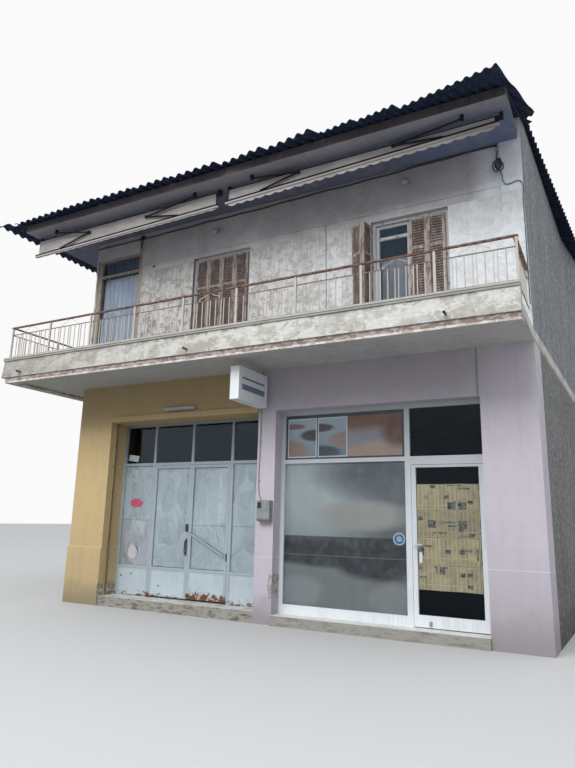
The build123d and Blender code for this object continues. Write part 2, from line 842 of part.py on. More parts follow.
with BuildPart() as steel_front_frame:
    steel_left = pier_width + seat
    steel_right = pillar_left - seat
    with BuildSketch(front_plane(steel_front)):
        with Locations(((steel_left + steel_right) / 2, (steel_foot + steel_head) / 2)):
            Rectangle(steel_right - steel_left, steel_head - steel_foot)
        # upper lights
        for x0, x1 in (
            (steel_left + stile, leaf_left - stile / 2),
            (leaf_left + stile / 2, leaf_middle - stile / 2),
            (leaf_middle + stile / 2, leaf_right - stile / 2),
            (leaf_right + stile / 2, steel_right - stile),
        ):
            with Locations(((x0 + x1) / 2, (steel_transom + stile / 2 + steel_head - stile) / 2)):
                Rectangle(x1 - x0, steel_head - stile - steel_transom - stile / 2, mode=Mode.SUBTRACT)
        # fixed side lights
        for x0, x1 in (
            (steel_left + stile, leaf_left - stile / 2 - leaf_gap),
            (leaf_right + stile / 2 + leaf_gap, steel_right - stile),
        ):
            with Locations(((x0 + x1) / 2, (steel_panel + stile / 2 + steel_transom - stile / 2) / 2)):
                Rectangle(x1 - x0, steel_transom - steel_panel - stile, mode=Mode.SUBTRACT)
        # way through for the two leaves
        with Locations(((leaf_left + leaf_right) / 2, (steel_foot + steel_transom - stile / 2) / 2)):
            Rectangle(
                leaf_right - leaf_left - stile,
                steel_transom - stile / 2 - steel_foot,
                mode=Mode.SUBTRACT,
            )
    extrude(amount=-steel_depth)
    for x0, x1 in (
        (steel_left + stile, leaf_left - stile / 2 - leaf_gap),
        (leaf_right + stile / 2 + leaf_gap, steel_right - stile),
    ):
        panel_recess(x0, x1, steel_foot + stile / 2)
    for z in steel_hinges:
        knuckle(hinge_left, steel_hinge_y, z + knuckle_length + knuckle_gap, -1, steel_front + steel_depth)
        knuckle(hinge_right, steel_hinge_y, z + knuckle_length + knuckle_gap, 1, steel_front + steel_depth)
steel_front_frame.part.label = "steel_front_frame"
export_step(steel_front_frame.part, "parts/steel_front_frame.step")

pane = 6
pane_y = steel_front + steel_depth / 2
with BuildPart() as steel_front_glass:
    for x0, x1 in (
        (steel_left + stile, leaf_left - stile / 2),
        (leaf_left + stile / 2, leaf_middle - stile / 2),
        (leaf_middle + stile / 2, leaf_right - stile / 2),
        (leaf_right + stile / 2, steel_right - stile),
    ):
        block(
            x0 + seat,
            x1 - seat,
            pane_y - pane / 2,
            pane_y + pane / 2,
            steel_transom + stile / 2 + seat,
            steel_head - stile - seat,
        )
    for x0, x1 in (
        (steel_left + stile, leaf_left - stile / 2 - leaf_gap),
        (leaf_right + stile / 2 + leaf_gap, steel_right - stile),
    ):
        block(
            x0 + seat,
            x1 - seat,
            pane_y - pane / 2,
            pane_y + pane / 2,
            steel_panel + stile / 2 + seat,
            steel_transom - stile / 2 - seat,
        )
steel_front_glass.part.label = "steel_front_glass"
export_step(steel_front_glass.part, "parts/steel_front_glass.step")

leaf_top = steel_transom - stile / 2 - leaf_gap
leaf_spans = (
    (leaf_left + stile / 2 + leaf_gap, leaf_middle - leaf_gap / 2),
    (leaf_middle + leaf_gap / 2, leaf_right - stile / 2 - leaf_gap),
)

with BuildPart() as steel_leaf_left:
    with BuildSketch(front_plane(steel_front)):
        x0, x1 = leaf_spans[0]
        with Locations(((x0 + x1) / 2, (leaf_bottom + leaf_top) / 2)):
            Rectangle(x1 - x0, leaf_top - leaf_bottom)
        with Locations(((x0 + x1) / 2, (steel_panel + stile / 2 + leaf_top - stile) / 2)):
            Rectangle(x1 - x0 - 2 * stile, leaf_top - stile - steel_panel - stile / 2, mode=Mode.SUBTRACT)
    extrude(amount=-leaf_thickness_steel)
    panel_recess(x0 + stile, x1 - stile, leaf_bottom + stile / 2)
    for z in steel_hinges:
        knuckle(hinge_left, steel_hinge_y, z, 1, steel_front + leaf_thickness_steel)
steel_leaf_left.part.label = "steel_leaf_left"
export_step(steel_leaf_left.part, "parts/steel_leaf_left.step")

with BuildPart() as steel_leaf_right:
    with BuildSketch(front_plane(steel_front)):
        x0, x1 = leaf_spans[1]
        with Locations(((x0 + x1) / 2, (leaf_bottom + leaf_top) / 2)):
            Rectangle(x1 - x0, leaf_top - leaf_bottom)
        with Locations(((x0 + x1) / 2, (steel_panel + stile / 2 + leaf_top - stile) / 2)):
            Rectangle(x1 - x0 - 2 * stile, leaf_top - stile - steel_panel - stile / 2, mode=Mode.SUBTRACT)
    extrude(amount=-leaf_thickness_steel)
    panel_recess(x0 + stile, x1 - stile, leaf_bottom + stile / 2)
    for z in steel_hinges:
        knuckle(hinge_right, steel_hinge_y, z, -1, steel_front + leaf_thickness_steel)
steel_leaf_right.part.label = "steel_leaf_right"
export_step(steel_leaf_right.part, "parts/steel_leaf_right.step")

with BuildPart() as steel_leaf_left_glass:
    x0, x1 = leaf_spans[0]
    block(
        x0 + stile + seat,
        x1 - stile - seat,
        steel_front + (leaf_thickness_steel - pane) / 2,
        steel_front + (leaf_thickness_steel + pane) / 2,
        steel_panel + stile / 2 + seat,
        leaf_top - stile - seat,
    )
steel_leaf_left_glass.part.label = "steel_leaf_left_glass"
export_step(steel_leaf_left_glass.part, "parts/steel_leaf_left_glass.step")

with BuildPart() as steel_leaf_right_glass:
    x0, x1 = leaf_spans[1]
    block(
        x0 + stile + seat,
        x1 - stile - seat,
        steel_front + (leaf_thickness_steel - pane) / 2,
        steel_front + (leaf_thickness_steel + pane) / 2,
        steel_panel + stile / 2 + seat,
        leaf_top - stile - seat,
    )
steel_leaf_right_glass.part.label = "steel_leaf_right_glass"
export_step(steel_leaf_right_glass.part, "parts/steel_leaf_right_glass.step")

guide_front = 110
guide_width = 60
guide_reach = 35
guide_sheet = 4
with BuildPart() as roller_guides:
    # channel of folded sheet on each reveal, open to the shop's doorway
    for x0, inward in ((pier_width + seat, 1), (pillar_left - seat, -1)):
        middle = Location((x0 + inward * guide_reach / 2, guide_front + guide_width / 2))
        slot = Location((x0 + inward * (guide_reach / 2 + guide_sheet), guide_front + guide_width / 2))
        with BuildSketch(Plane.XY.offset(steel_foot + seat)):
            with Locations(middle):
                Rectangle(guide_reach, guide_width)
            with Locations(slot):
                Rectangle(guide_reach, guide_width - 2 * guide_sheet, mode=Mode.SUBTRACT)
        extrude(amount=steel_head - steel_foot - 2 * seat)
roller_guides.part.label = "roller_guides"
export_step(roller_guides.part, "parts/roller_guides.step")

# Aluminium shopfront on the right
alu_front = 229
alu_depth = 50
alu_left = pillar_right + seat
alu_right = right_pier_left - seat
alu_head = right_opening_head - seat
alu_foot = 145
alu_stile = 64
alu_top_rail = 64
alu_transom_low = 2434
alu_transom_high = 2498
alu_mullion_left = 6405
alu_mullion_right = 6483
alu_bottom_rail = 286
door_left = 6497
door_right = 7517
door_bottom = 157
door_top = 2371

door_gap = 5
door_thickness = 45
alu_hinge_x = door_right + door_gap / 2
alu_hinge_y = alu_front + alu_depth + knuckle_radius + 1
alu_hinges = (350, 1200, 2100)

with BuildPart() as aluminium_frame:
    with BuildSketch(front_plane(alu_front)):
        with Locations(((alu_left + alu_right) / 2, (alu_foot + alu_head) / 2)):
            Rectangle(alu_right - alu_left, alu_head - alu_foot)
        for x0, x1, z0, z1 in (
            (alu_left + alu_stile, alu_mullion_left, alu_bottom_rail, alu_transom_low),
            (alu_left + alu_stile, alu_mullion_left, alu_transom_high, alu_head - alu_top_rail),
            (alu_mullion_right, door_right + door_gap, alu_transom_high, alu_head - alu_top_rail),
            (door_left - door_gap, door_right + door_gap, alu_foot, door_top + door_gap),
        ):
            with Locations(((x0 + x1) / 2, (z0 + z1) / 2)):
                Rectangle(x1 - x0, z1 - z0, mode=Mode.SUBTRACT)
    extrude(amount=-alu_depth)
    for z in alu_hinges:
        knuckle(alu_hinge_x, alu_hinge_y, z + knuckle_length + knuckle_gap, 1, alu_front + alu_depth)
aluminium_frame.part.label = "aluminium_frame"
export_step(aluminium_frame.part, "parts/aluminium_frame.step")

with BuildPart() as aluminium_glass:
    for x0, x1, z0, z1 in (
        (alu_left + alu_stile, alu_mullion_left, alu_bottom_rail, alu_transom_low),
        (alu_left + alu_stile, alu_mullion_left, alu_transom_high, alu_head - alu_top_rail),
        (alu_mullion_right, door_right + door_gap, alu_transom_high, alu_head - alu_top_rail),
    ):
        block(
            x0 + seat,
            x1 - seat,
            alu_front + (alu_depth - pane) / 2,
            alu_front + (alu_depth + pane) / 2,
            z0 + seat,
            z1 - seat,
        )
aluminium_glass.part.label = "aluminium_glass"
export_step(aluminium_glass.part, "parts/aluminium_glass.step")

door_stile = 66
door_bottom_rail = 158
door_top_rail = 37
lever_x = door_left + door_stile / 2
lever_level = 1250
lever_reach = 45
lever_length = 118
lever_radius = 8
plate_width = 28
plate_height = 220
plate_thickness = 8
with BuildPart() as aluminium_door:
    with BuildSketch(front_plane(alu_front)):
        with Locations(((door_left + door_right) / 2, (door_bottom + door_top) / 2)):
            Rectangle(door_right - door_left, door_top - door_bottom)
        with Locations(
            (
                (door_left + door_right) / 2,
                (door_bottom + door_bottom_rail + door_top - door_top_rail) / 2,
            )
        ):
            Rectangle(
                door_right - door_left - 2 * door_stile,
                door_top - door_top_rail - door_bottom - door_bottom_rail,
                mode=Mode.SUBTRACT,
            )
    extrude(amount=-door_thickness)
    for z in alu_hinges:
        knuckle(alu_hinge_x, alu_hinge_y, z, -1, alu_front + door_thickness)
    # lever and its back plate on the left stile
    with Locations((lever_x, alu_front - plate_thickness / 2, lever_level - plate_height / 4)):
        Box(plate_width, plate_thickness, plate_height)
    rod((lever_x, alu_front, lever_level), (lever_x, alu_front - lever_reach, lever_level), lever_radius)
    with Locations((lever_x, alu_front - lever_reach, lever_level)):
        Sphere(lever_radius)
    rod(
        (lever_x, alu_front - lever_reach, lever_level),
        (lever_x + lever_length, alu_front - lever_reach, lever_level),
        lever_radius,
    )
aluminium_door.part.label = "aluminium_door"
export_step(aluminium_door.part, "parts/aluminium_door.step")

with BuildPart() as aluminium_door_glass:
    block(
        door_left + door_stile + seat,
        door_right - door_stile - seat,
        alu_front + (door_thickness - pane) / 2,
        alu_front + (door_thickness + pane) / 2,
        door_bottom + door_bottom_rail + seat,
        door_top - door_top_rail - seat,
    )
aluminium_door_glass.part.label = "aluminium_door_glass"
export_step(aluminium_door_glass.part, "parts/aluminium_door_glass.step")

step_reach = 48
with BuildPart() as stone_steps:
    # step of the right shop and threshold of the left shop
    block(pillar_right, right_pier_left, -step_reach, front_wall, 0, alu_foot - seat)
    block(pier_width, pillar_left, 0, front_wall, 0, steel_foot - seat)
stone_steps.part.label = "stone_steps"
export_step(stone_steps.part, "parts/stone_steps.step")

# Doors and shutters of the flat
sill = upper_floor_level + seat
glazed_post = 100
glazed_panel = 250
glazed_transom_low = 6300
glazed_transom_high = 6340
glazed_top_rail = 50
glazed_depth = 60
glazed_front = upper_front + 10
jamb = 55
frame_front = upper_front + 60
frame_depth = 100
sash_front = frame_front + 40
sash_depth = 40
sash_stile = 52
sash_kick = 420
sash_light_bar = 1800
with BuildPart() as glazed_door_frame:
    with BuildSketch(front_plane(glazed_front)):
        x0 = glazed_left + seat
        x1 = glazed_right - seat
        top = glazed_head - seat
        with Locations(((x0 + x1) / 2, (sill + top) / 2)):
            Rectangle(x1 - x0, top - sill)
        for z0, z1 in ((sill + glazed_panel, glazed_transom_low), (glazed_transom_high, top - glazed_top_rail)):
            with Locations(((x0 + x1) / 2, (z0 + z1) / 2)):
                Rectangle(x1 - x0 - 2 * glazed_post, z1 - z0, mode=Mode.SUBTRACT)
    extrude(amount=-glazed_depth)
glazed_door_frame.part.label = "glazed_door_frame"
export_step(glazed_door_frame.part, "parts/glazed_door_frame.step")

with BuildPart() as french_door_frames:
    for x0, x1, head in upper_openings[1:]:
        with BuildSketch(front_plane(frame_front)):
            with Locations(((x0 + x1) / 2, (sill + head - seat) / 2)):
                Rectangle(x1 - x0 - 2 * seat, head - seat - sill)
            with Locations(((x0 + x1) / 2, (sill + head - jamb) / 2)):
                Rectangle(x1 - x0 - 2 * jamb, head - jamb - sill, mode=Mode.SUBTRACT)
        extrude(amount=-frame_depth)
        # two glazed sashes with a solid kick panel
        middle = (x0 + x1) / 2
        sash_width = middle - x0 - jamb
        with BuildSketch(front_plane(sash_front)):
            for centre in (middle - sash_width / 2, middle + sash_width / 2):
                with Locations((centre, (sill + head - jamb) / 2)):
                    Rectangle(sash_width, head - jamb - sill)
                with Locations((centre, (sill + sash_kick + head - jamb - sash_stile) / 2)):
                    Rectangle(
                        sash_width - 2 * sash_stile,
                        head - jamb - sash_stile - sill - sash_kick,
                        mode=Mode.SUBTRACT,
                    )
                with Locations((centre, sill + sash_light_bar)):
                    Rectangle(sash_width, sash_stile)
        extrude(amount=-sash_depth)
french_door_frames.part.label = "french_door_frames"
export_step(french_door_frames.part, "parts/french_door_frames.step")

with BuildPart() as upper_glass:
    for z0, z1 in ((sill + glazed_panel, glazed_transom_low), (glazed_transom_high, top - glazed_top_rail)):
        block(
            glazed_left + glazed_post + 2 * seat,
            glazed_right - glazed_post - 2 * seat,
            glazed_front + (glazed_depth - pane) / 2,
            glazed_front + (glazed_depth + pane) / 2,
            z0 + seat,
            z1 - seat,
        )
    for x0, x1, head in upper_openings[1:]:
        middle = (x0 + x1) / 2
        sash_width = middle - x0 - jamb
        low = sill + sash_kick
        bar = sill + sash_light_bar
        for centre in (middle - sash_width / 2, middle + sash_width / 2):
            for z0, z1 in ((low, bar - sash_stile / 2), (bar + sash_stile / 2, head - jamb - sash_stile)):
                block(
                    centre - sash_width / 2 + sash_stile + seat,
                    centre + sash_width / 2 - sash_stile - seat,
                    sash_front + (sash_depth - pane) / 2,
                    sash_front + (sash_depth + pane) / 2,
                    z0 + seat,
                    z1 - seat,
                )
upper_glass.part.label = "upper_glass"
export_step(upper_glass.part, "parts/upper_glass.step")

shutter_thickness = 36
shutter_y = frame_front - seat - shutter_thickness
shutter_foot = 12
shutter_clear = 4
shutter_stile = 46
shutter_recess = 12
shutter_rails = (600, 1500)
shutter_spans = (
    (window_one_left + jamb, window_one_right - jamb, 0, window_one_head),
    (window_two_left + jamb, window_two_right - jamb, 2, window_two_head),
)
rear_leaf_rails = (600,)
rear_leaf_inset = 78
side_leaf_x = 78


def shutter_leaf(centre, width, bottom, height, rails, turned=False):
    """One louvred leaf: stiles and rails with the slatted fields set back on both faces."""
    x, y = centre
    wide = (shutter_thickness, width) if turned else (width, shutter_thickness)
    with Locations((x, y, bottom + height / 2)):
        Box(*wide, height)
    edges = (0, *rails, height)
    for low, high in zip(edges, edges[1:]):
        field = (high - low) - shutter_stile * (1.5 if low == 0 or high == height else 1)
        level = bottom + (low + high) / 2
        if low == 0:
            level += shutter_stile / 4
        if high == height:
            level -= shutter_stile / 4
        if low == 0 and high == height:
            field = height - 2 * shutter_stile
        offset = (shutter_thickness - shutter_recess) / 2
        cut = width - 2 * shutter_stile
        for side in (-1, 1):
            if turned:
                with Locations((x + side * offset, y, level)):
                    Box(shutter_recess, cut, field, mode=Mode.SUBTRACT)
            else:
                with Locations((x, y + side * offset, level)):
                    Box(cut, shutter_recess, field, mode=Mode.SUBTRACT)


with BuildPart() as louvre_shutters:
    bottom = sill + shutter_foot
    for x0, x1, first, head in shutter_spans:
        width = (x1 - x0) / 4
        height = head - jamb - shutter_clear - bottom
        for k in range(first, 4):
            middle = (x0 + (k + 0.5) * width, shutter_y + shutter_thickness / 2)
            shutter_leaf(middle, width - seat, bottom, height, shutter_rails)
    # the two leaves of the right-hand door stand folded, square to the wall
    height = window_two_head - jamb - shutter_clear - bottom
    fold_width = (window_two_right - window_two_left - 2 * jamb) / 4
    fold_back = frame_front - seat
    for k in range(2):
        x = window_two_left + seat + (k + 0.5) * shutter_thickness + k * seat
        shutter_leaf((x, fold_back - fold_width / 2), fold_width, bottom, height, shutter_rails, turned=True)
    # side door of the flat, on the balcony
    side_height = window_one_head - shutter_clear - bottom
    for k in range(4):
        width = side_door_width / 4
        middle = (side_leaf_x, side_door_front + (k + 0.5) * width)
        shutter_leaf(middle, width - seat, bottom, side_height, shutter_rails, turned=True)
    # rear windows
    for x0 in rear_windows:
        for k in range(2):
            width = rear_window_width / 2
            middle = (x0 + (k + 0.5) * width, house_depth - rear_leaf_inset)
            rear_height = rear_head - rear_sill - 2 * shutter_clear
            shutter_leaf(middle, width - seat, rear_sill + shutter_clear, rear_height, rear_leaf_rails)
louvre_shutters.part.label = "louvre_shutters"
export_step(louvre_shutters.part, "parts/louvre_shutters.step")

# Awnings
tube_y = -690
tube_level = 6985
tube_radius = 36
bar_y = -737
bar_height_awning = 60
bar_depth = 40
bracket_width = 44
shoulder_level = 6995
arm_radius = 15
elbow_radius = 24
valance_drop = 90
cloth_inset = 60
cloth_thickness = 3
# per awning: tube ends, front bar's two ends with their levels, and the arms' shoulder, elbow and
# bar joint, each as x and y, the elbow and joint with a level
awnings = (
    {
        "tube": (-870, 3550),
        "bar": ((-930, 6670), (3530, 6740)),
        "arms": (
            ((-245, -864), (550, -768, 6880), (-220, 6701)),
            ((3079, -811), (1960, -768, 6880), (2680, 6747)),
        ),
    },
    {
        "tube": (3705, 8170),
        "bar": ((3680, 6757), (8120, 6882)),
        "arms": (
            ((4266, -863), (5070, -768, 6945), (4370, 6797)),
            ((7656, -880), (6630, -768, 6950), (7360, 6881)),
        ),
    },
)

with BuildPart() as awning_arms:
    bracket_top = roof_soffit_level - seat
    for awning in awnings:
        tube_left, tube_right = awning["tube"]
        rod((tube_left, tube_y, tube_level), (tube_right, tube_y, tube_level), tube_radius)
        # end brackets hang the tube from the soffit
        for x in (tube_left + bracket_width / 2, tube_right - bracket_width / 2):
            block(
                x - bracket_width / 2,
                x + bracket_width / 2,
                tube_y - tube_radius,
                tube_y + tube_radius,
                tube_level,
                bracket_top,
            )
        (bar_left, bar_left_level), (bar_right, bar_right_level) = awning["bar"]
        bar_run = Vector(bar_right - bar_left, 0, bar_right_level - bar_left_level)
        bar_centre = ((bar_left + bar_right) / 2, bar_y, (bar_left_level + bar_right_level) / 2)
        with Locations(Plane(origin=bar_centre, x_dir=bar_run, z_dir=(0, -1, 0))):
            Box(bar_run.length, bar_height_awning, bar_depth)
        for (sx, sy), elbow, (joint_x, joint_level) in awning["arms"]:
            shoulder = (sx, sy, shoulder_level)
            joint = (joint_x, bar_y - bar_depth / 2 - arm_radius / 2, joint_level)
            block(
                sx - bracket_width / 2,
                sx + bracket_width / 2,
                sy - bracket_width / 2,
                sy + bracket_width / 2,
                shoulder_level - elbow_radius,
                bracket_top,
            )
            rod(shoulder, elbow, arm_radius)
            rod(elbow, joint, arm_radius)
            with Locations(elbow):
                Cylinder(elbow_radius, 2 * arm_radius + 12)
awning_arms.part.label = "awning_arms"
export_step(awning_arms.part, "parts/awning_arms.step")

with BuildPart() as awning_fabric:
    # cloth from the front of each tube down to its bar, and a short valance under the bar
    cloth_y = tube_y - tube_radius - seat
    for awning in awnings:
        (bar_left, bar_left_level), (bar_right, bar_right_level) = awning["bar"]
        lean = math.atan2(bar_right_level - bar_left_level, bar_right - bar_left)
        rise = bar_height_awning / 2 / math.cos(lean) + seat
        left = bar_left + cloth_inset
        right = bar_right - cloth_inset
        left_level = bar_left_level + cloth_inset * math.tan(lean)
        right_level = bar_right_level - cloth_inset * math.tan(lean)
        with BuildSketch(front_plane(cloth_y)):
            with BuildLine():
                Polyline(
                    (left, left_level + rise),
                    (right, right_level + rise),
                    (right, tube_level),
                    (left, tube_level),
                    close=True,
                )
            make_face()
        extrude(amount=cloth_thickness)
        with BuildSketch(front_plane(bar_y)):
            with BuildLine():
                Polyline(
                    (left, left_level - rise),
                    (right, right_level - rise),
                    (right, right_level - rise - valance_drop),
                    (left, left_level - rise - valance_drop),
                    close=True,
                )
            make_face()
        extrude(amount=cloth_thickness)
awning_fabric.part.label = "awning_fabric"
export_step(awning_fabric.part, "parts/awning_fabric.step")

# Fittings on the front
sign_left = 4060
sign_right = 4217
sign_front = -930
sign_back = -75
sign_low = 3310
sign_high = 3830
sign_round = 12
sign_bracket = 40
with BuildPart() as hanging_sign:
    block(sign_left, sign_right, sign_front, sign_back, sign_low, sign_high)
    fillet(hanging_sign.edges().filter_by(Axis.X), sign_round)
    middle = (sign_left + sign_right) / 2
    for z in (sign_low + 2 * sign_bracket, sign_high - 2 * sign_bracket):
        block(middle - sign_bracket / 2, middle + sign_bracket / 2, sign_back, 0, z, z + sign_bracket)
hanging_sign.part.label = "hanging_sign"
export_step(hanging_sign.part, "parts/hanging_sign.step")

meter_left = 4112
meter_right = 4340
meter_low = 1522
meter_high = 1846
meter_depth = 115
meter_round = 18
meter_brow = 30
with BuildPart() as meter_box:
    block(meter_left, meter_right, -meter_depth, 0, meter_low, meter_high)
    # sloping front below the reading window
    lower_edge = meter_box.edges().filter_by(Axis.X).group_by(Axis.Y)[0].sort_by(Axis.Z)[0]
    chamfer(lower_edge, meter_brow)
    fillet(meter_box.edges().filter_by(Axis.Y).group_by(Axis.Z)[-1], meter_round)
meter_box.part.label = "meter_box"
export_step(meter_box.part, "parts/meter_box.step")

strip_lamp_left = 2080
strip_lamp_right = 2768
strip_lamp_level = 3425
strip_lamp_height = 50
strip_lamp_depth = 70
globe_radius = 62
globe_places = ((2986, 6707), (6578, 6773))
globe_base = 30
globe_stem = 20
with BuildPart() as lamps:
    # tube lamp over the left shop, with rounded ends, and two globes under the eaves
    with Locations(((strip_lamp_left + strip_lamp_right) / 2, -strip_lamp_depth / 2, strip_lamp_level)):
        Box(strip_lamp_right - strip_lamp_left, strip_lamp_depth, strip_lamp_height)
    fillet(lamps.edges().filter_by(Axis.Y), strip_lamp_height / 2 - 1)
    beam_face = upper_front - beam_proud
    for x, z in globe_places:
        with Locations((x, beam_face - globe_stem + 10 - globe_radius, z)):
            Sphere(globe_radius)
        rod((x, beam_face - globe_stem, z), (x, beam_face, z), globe_base)
lamps.part.label = "lamps"
export_step(lamps.part, "parts/lamps.step")
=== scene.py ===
import math

import bpy
from mathutils import Matrix, Vector


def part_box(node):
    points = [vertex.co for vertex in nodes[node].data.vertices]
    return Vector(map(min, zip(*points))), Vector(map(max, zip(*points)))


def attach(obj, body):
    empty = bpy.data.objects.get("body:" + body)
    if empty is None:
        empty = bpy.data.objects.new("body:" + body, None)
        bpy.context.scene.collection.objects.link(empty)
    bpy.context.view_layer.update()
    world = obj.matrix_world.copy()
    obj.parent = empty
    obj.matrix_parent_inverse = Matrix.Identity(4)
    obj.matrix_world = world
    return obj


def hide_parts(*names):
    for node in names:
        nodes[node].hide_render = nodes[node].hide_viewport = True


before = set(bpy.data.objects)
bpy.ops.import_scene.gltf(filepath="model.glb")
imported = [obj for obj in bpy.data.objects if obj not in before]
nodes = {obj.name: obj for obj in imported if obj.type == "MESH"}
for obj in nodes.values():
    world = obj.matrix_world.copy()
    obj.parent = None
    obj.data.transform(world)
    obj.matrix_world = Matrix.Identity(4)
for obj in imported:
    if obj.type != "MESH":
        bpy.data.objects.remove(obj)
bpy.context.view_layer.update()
bpy.ops.object.select_all(action="DESELECT")

# Camera
# It stands at eye height in the street, near the right-hand corner of the house, and looks up and to
# the left, as in the photograph.
camera_place = Vector((9.09886, -8.47320, 1.55440))
camera_right = Vector((0.883181, 0.468521, 0.021910))
camera_up = Vector((0.083126, -0.202326, 0.975784))
camera_back = Vector((0.461608, -0.859972, -0.217637))
bpy.ops.object.camera_add()
camera = bpy.context.object
camera.name = "camera"
camera.data.lens = 28.518
camera.data.sensor_width = 36
camera.data.clip_end = 300
turn = Matrix((camera_right, camera_up, camera_back)).transposed()
camera.matrix_world = Matrix.Translation(camera_place) @ turn.to_4x4()
scene = bpy.context.scene
scene.camera = camera

# Light, floor and background
# An overcast sky: pale light from all of the upper half, a broad lamp high in front of the house,
# and a plain pale floor that carries the shadow.
sky_strength = 1.12
lamp_strength = 3000
lamp_target = Vector((4.2, 0.0, 3.0))
scene.view_settings.view_transform = "Standard"


def fill(socket, value):
    """Links a node's input to another socket, or sets it; a colour of three numbers is opaque."""
    if isinstance(value, bpy.types.NodeSocket):
        socket.id_data.links.new(value, socket)
    elif socket.type == "RGBA":
        socket.default_value = (*value[:3], 1)
    else:
        socket.default_value = value


def add_node(tree, kind, links=None, **settings):
    """Adds one shader node, sets its attributes, and fills its inputs by name or number."""
    made = tree.nodes.new("ShaderNode" + kind)
    for name, value in settings.items():
        setattr(made, name, value)
    for key, value in (links or {}).items():
        fill(made.inputs[key], value)
    return made


def tree_of(*values):
    """The node tree of the first socket among the values."""
    return next(value.id_data for value in values if isinstance(value, bpy.types.NodeSocket))


def combine(operation, *values):
    """One sum, product or other operation on values."""
    links = dict(enumerate(values))
    return add_node(tree_of(*values), "Math", links, operation=operation).outputs[0]


def times(value, *others):
    """The product of all the values."""
    for other in others:
        value = combine("MULTIPLY", value, other)
    return value


def axes(vector):
    """The three parts of a vector."""
    return add_node(tree_of(vector), "SeparateXYZ", {0: vector}).outputs


def span(value, low, high, to_low=0.0, to_high=1.0):
    """The value mapped from one range to another, and held at its ends."""
    links = {"Value": value, "From Min": low, "From Max": high, "To Min": to_low, "To Max": to_high}
    return add_node(tree_of(value), "MapRange", links).outputs[0]


def light_and_look(tree, output, light, look):
    """Ends a tree: one shader gives light, the other shows to the camera, in gloss and through glass."""
    path = add_node(tree, "LightPath").outputs
    seen = combine("MAXIMUM", path["Is Camera Ray"], path["Is Glossy Ray"])
    seen = combine("MAXIMUM", seen, path["Is Transmission Ray"])
    links = {0: seen, 1: light.outputs[0], 2: look.outputs[0]}
    add_node(tree, output, {"Surface": add_node(tree, "MixShader", links).outputs[0]})


world = bpy.data.worlds.new("overcast")
scene.world = world
world.use_nodes = True
tree = world.node_tree
tree.nodes.clear()
direction = add_node(tree, "TexCoord").outputs["Generated"]
dome = times(span(axes(direction)["Z"], -0.05, 0.9, 0.35, 1.25), sky_strength)
light = add_node(tree, "Background", {"Color": (0.93, 0.97, 1.0), "Strength": dome})
look = add_node(tree, "Background", {"Color": (1, 1, 1), "Strength": 0.96})
light_and_look(tree, "OutputWorld", light, look)

bpy.ops.object.light_add(type="AREA", location=(3.0, -16.0, 17.0))
lamp = bpy.context.object
lamp.name = "soft_lamp"
lamp.data.shape = "RECTANGLE"
lamp.data.size = 16
lamp.data.size_y = 9
lamp.data.energy = lamp_strength
lamp.visible_glossy = False
lamp.rotation_euler = (lamp_target - lamp.location).to_track_quat("-Z", "Y").to_euler()

bpy.ops.mesh.primitive_plane_add(size=160, location=(4, 20, 0))
floor = bpy.context.object
floor.name = "floor"
material = bpy.data.materials.new("pale_floor")
material.use_nodes = True
tree = material.node_tree
tree.nodes.clear()
bounce = add_node(tree, "BsdfDiffuse", {"Color": (0.28, 0.28, 0.28)})
pale = add_node(tree, "BsdfDiffuse", {"Color": (0.50, 0.50, 0.50)})
light_and_look(tree, "OutputMaterial", bounce, pale)
floor.data.materials.append(material)

# Masonry of the ground storey
# Rendered brick walls, painted yellow on the left shop and mauve on the right one, with rough grey
# cement on the party wall and the back. Rain streaks, patches and splashed dirt lie over the paint.


def plus(a, b):
    """The sum of two values."""
    return combine("ADD", a, b)


def minus(a, b):
    """The difference of two values."""
    return combine("SUBTRACT", a, b)


def apart(a, b):
    """How far one value is from another."""
    return combine("ABSOLUTE", minus(a, b))


def noise(vector, scale, detail=5.0, roughness=0.6, distortion=0.0):
    """Noise over the vector."""
    links = {"Vector": vector, "Scale": scale, "Detail": detail}
    links.update(Roughness=roughness, Distortion=distortion)
    return add_node(tree_of(vector), "TexNoise", links).outputs["Fac"]


def stretched(vector, scale):
    """The vector with its three axes scaled."""
    return add_node(tree_of(vector), "Mapping", {"Vector": vector, "Scale": scale}).outputs[0]


def blend(factor, a, b):
    """Two colours mixed by a factor."""
    links = {0: factor, 6: a, 7: b}
    return add_node(tree_of(factor, a, b), "Mix", links, data_type="RGBA").outputs[2]


def layers(tone, *coats):
    """A colour with others laid over it in turn, each by its mask."""
    for mask, colour in coats:
        tone = blend(mask, tone, colour)
    return tone


def tinted(colour, share, most=1.0):
    """A colour made darker or paler."""
    return tuple(min(part * share, most) for part in colour)


def ellipse(u, v, centre, radii=(1, 1)):
    """Squared distance from a centre, measured in the two radii."""
    across = combine("DIVIDE", minus(u, centre[0]), radii[0])
    up = combine("DIVIDE", minus(v, centre[1]), radii[1])
    return plus(times(across, across), times(up, up))


def group(name, takes, gives):
    """Starts a node group from its inputs (None for a vector) and outputs; returns it with both."""
    made = bpy.data.node_groups.new(name, "ShaderNodeTree")
    for label, value in takes.items():
        kind = "Vector" if value is None else "Color" if isinstance(value, tuple) else "Float"
        socket = made.interface.new_socket(label, in_out="INPUT", socket_type="NodeSocket" + kind)
        if value is not None:
            socket.default_value = value
    for label in gives:
        kind = "Color" if label == "Color" else "Float"
        made.interface.new_socket(label, in_out="OUTPUT", socket_type="NodeSocket" + kind)
    return made, made.nodes.new("NodeGroupInput").outputs, made.nodes.new("NodeGroupOutput").inputs


def use_group(kind, place, **links):
    """Places a node group over the piece's coordinates; returns its outputs."""
    return add_node(place.id_data, "Group", {"Vector": place, **links}, node_tree=kind).outputs


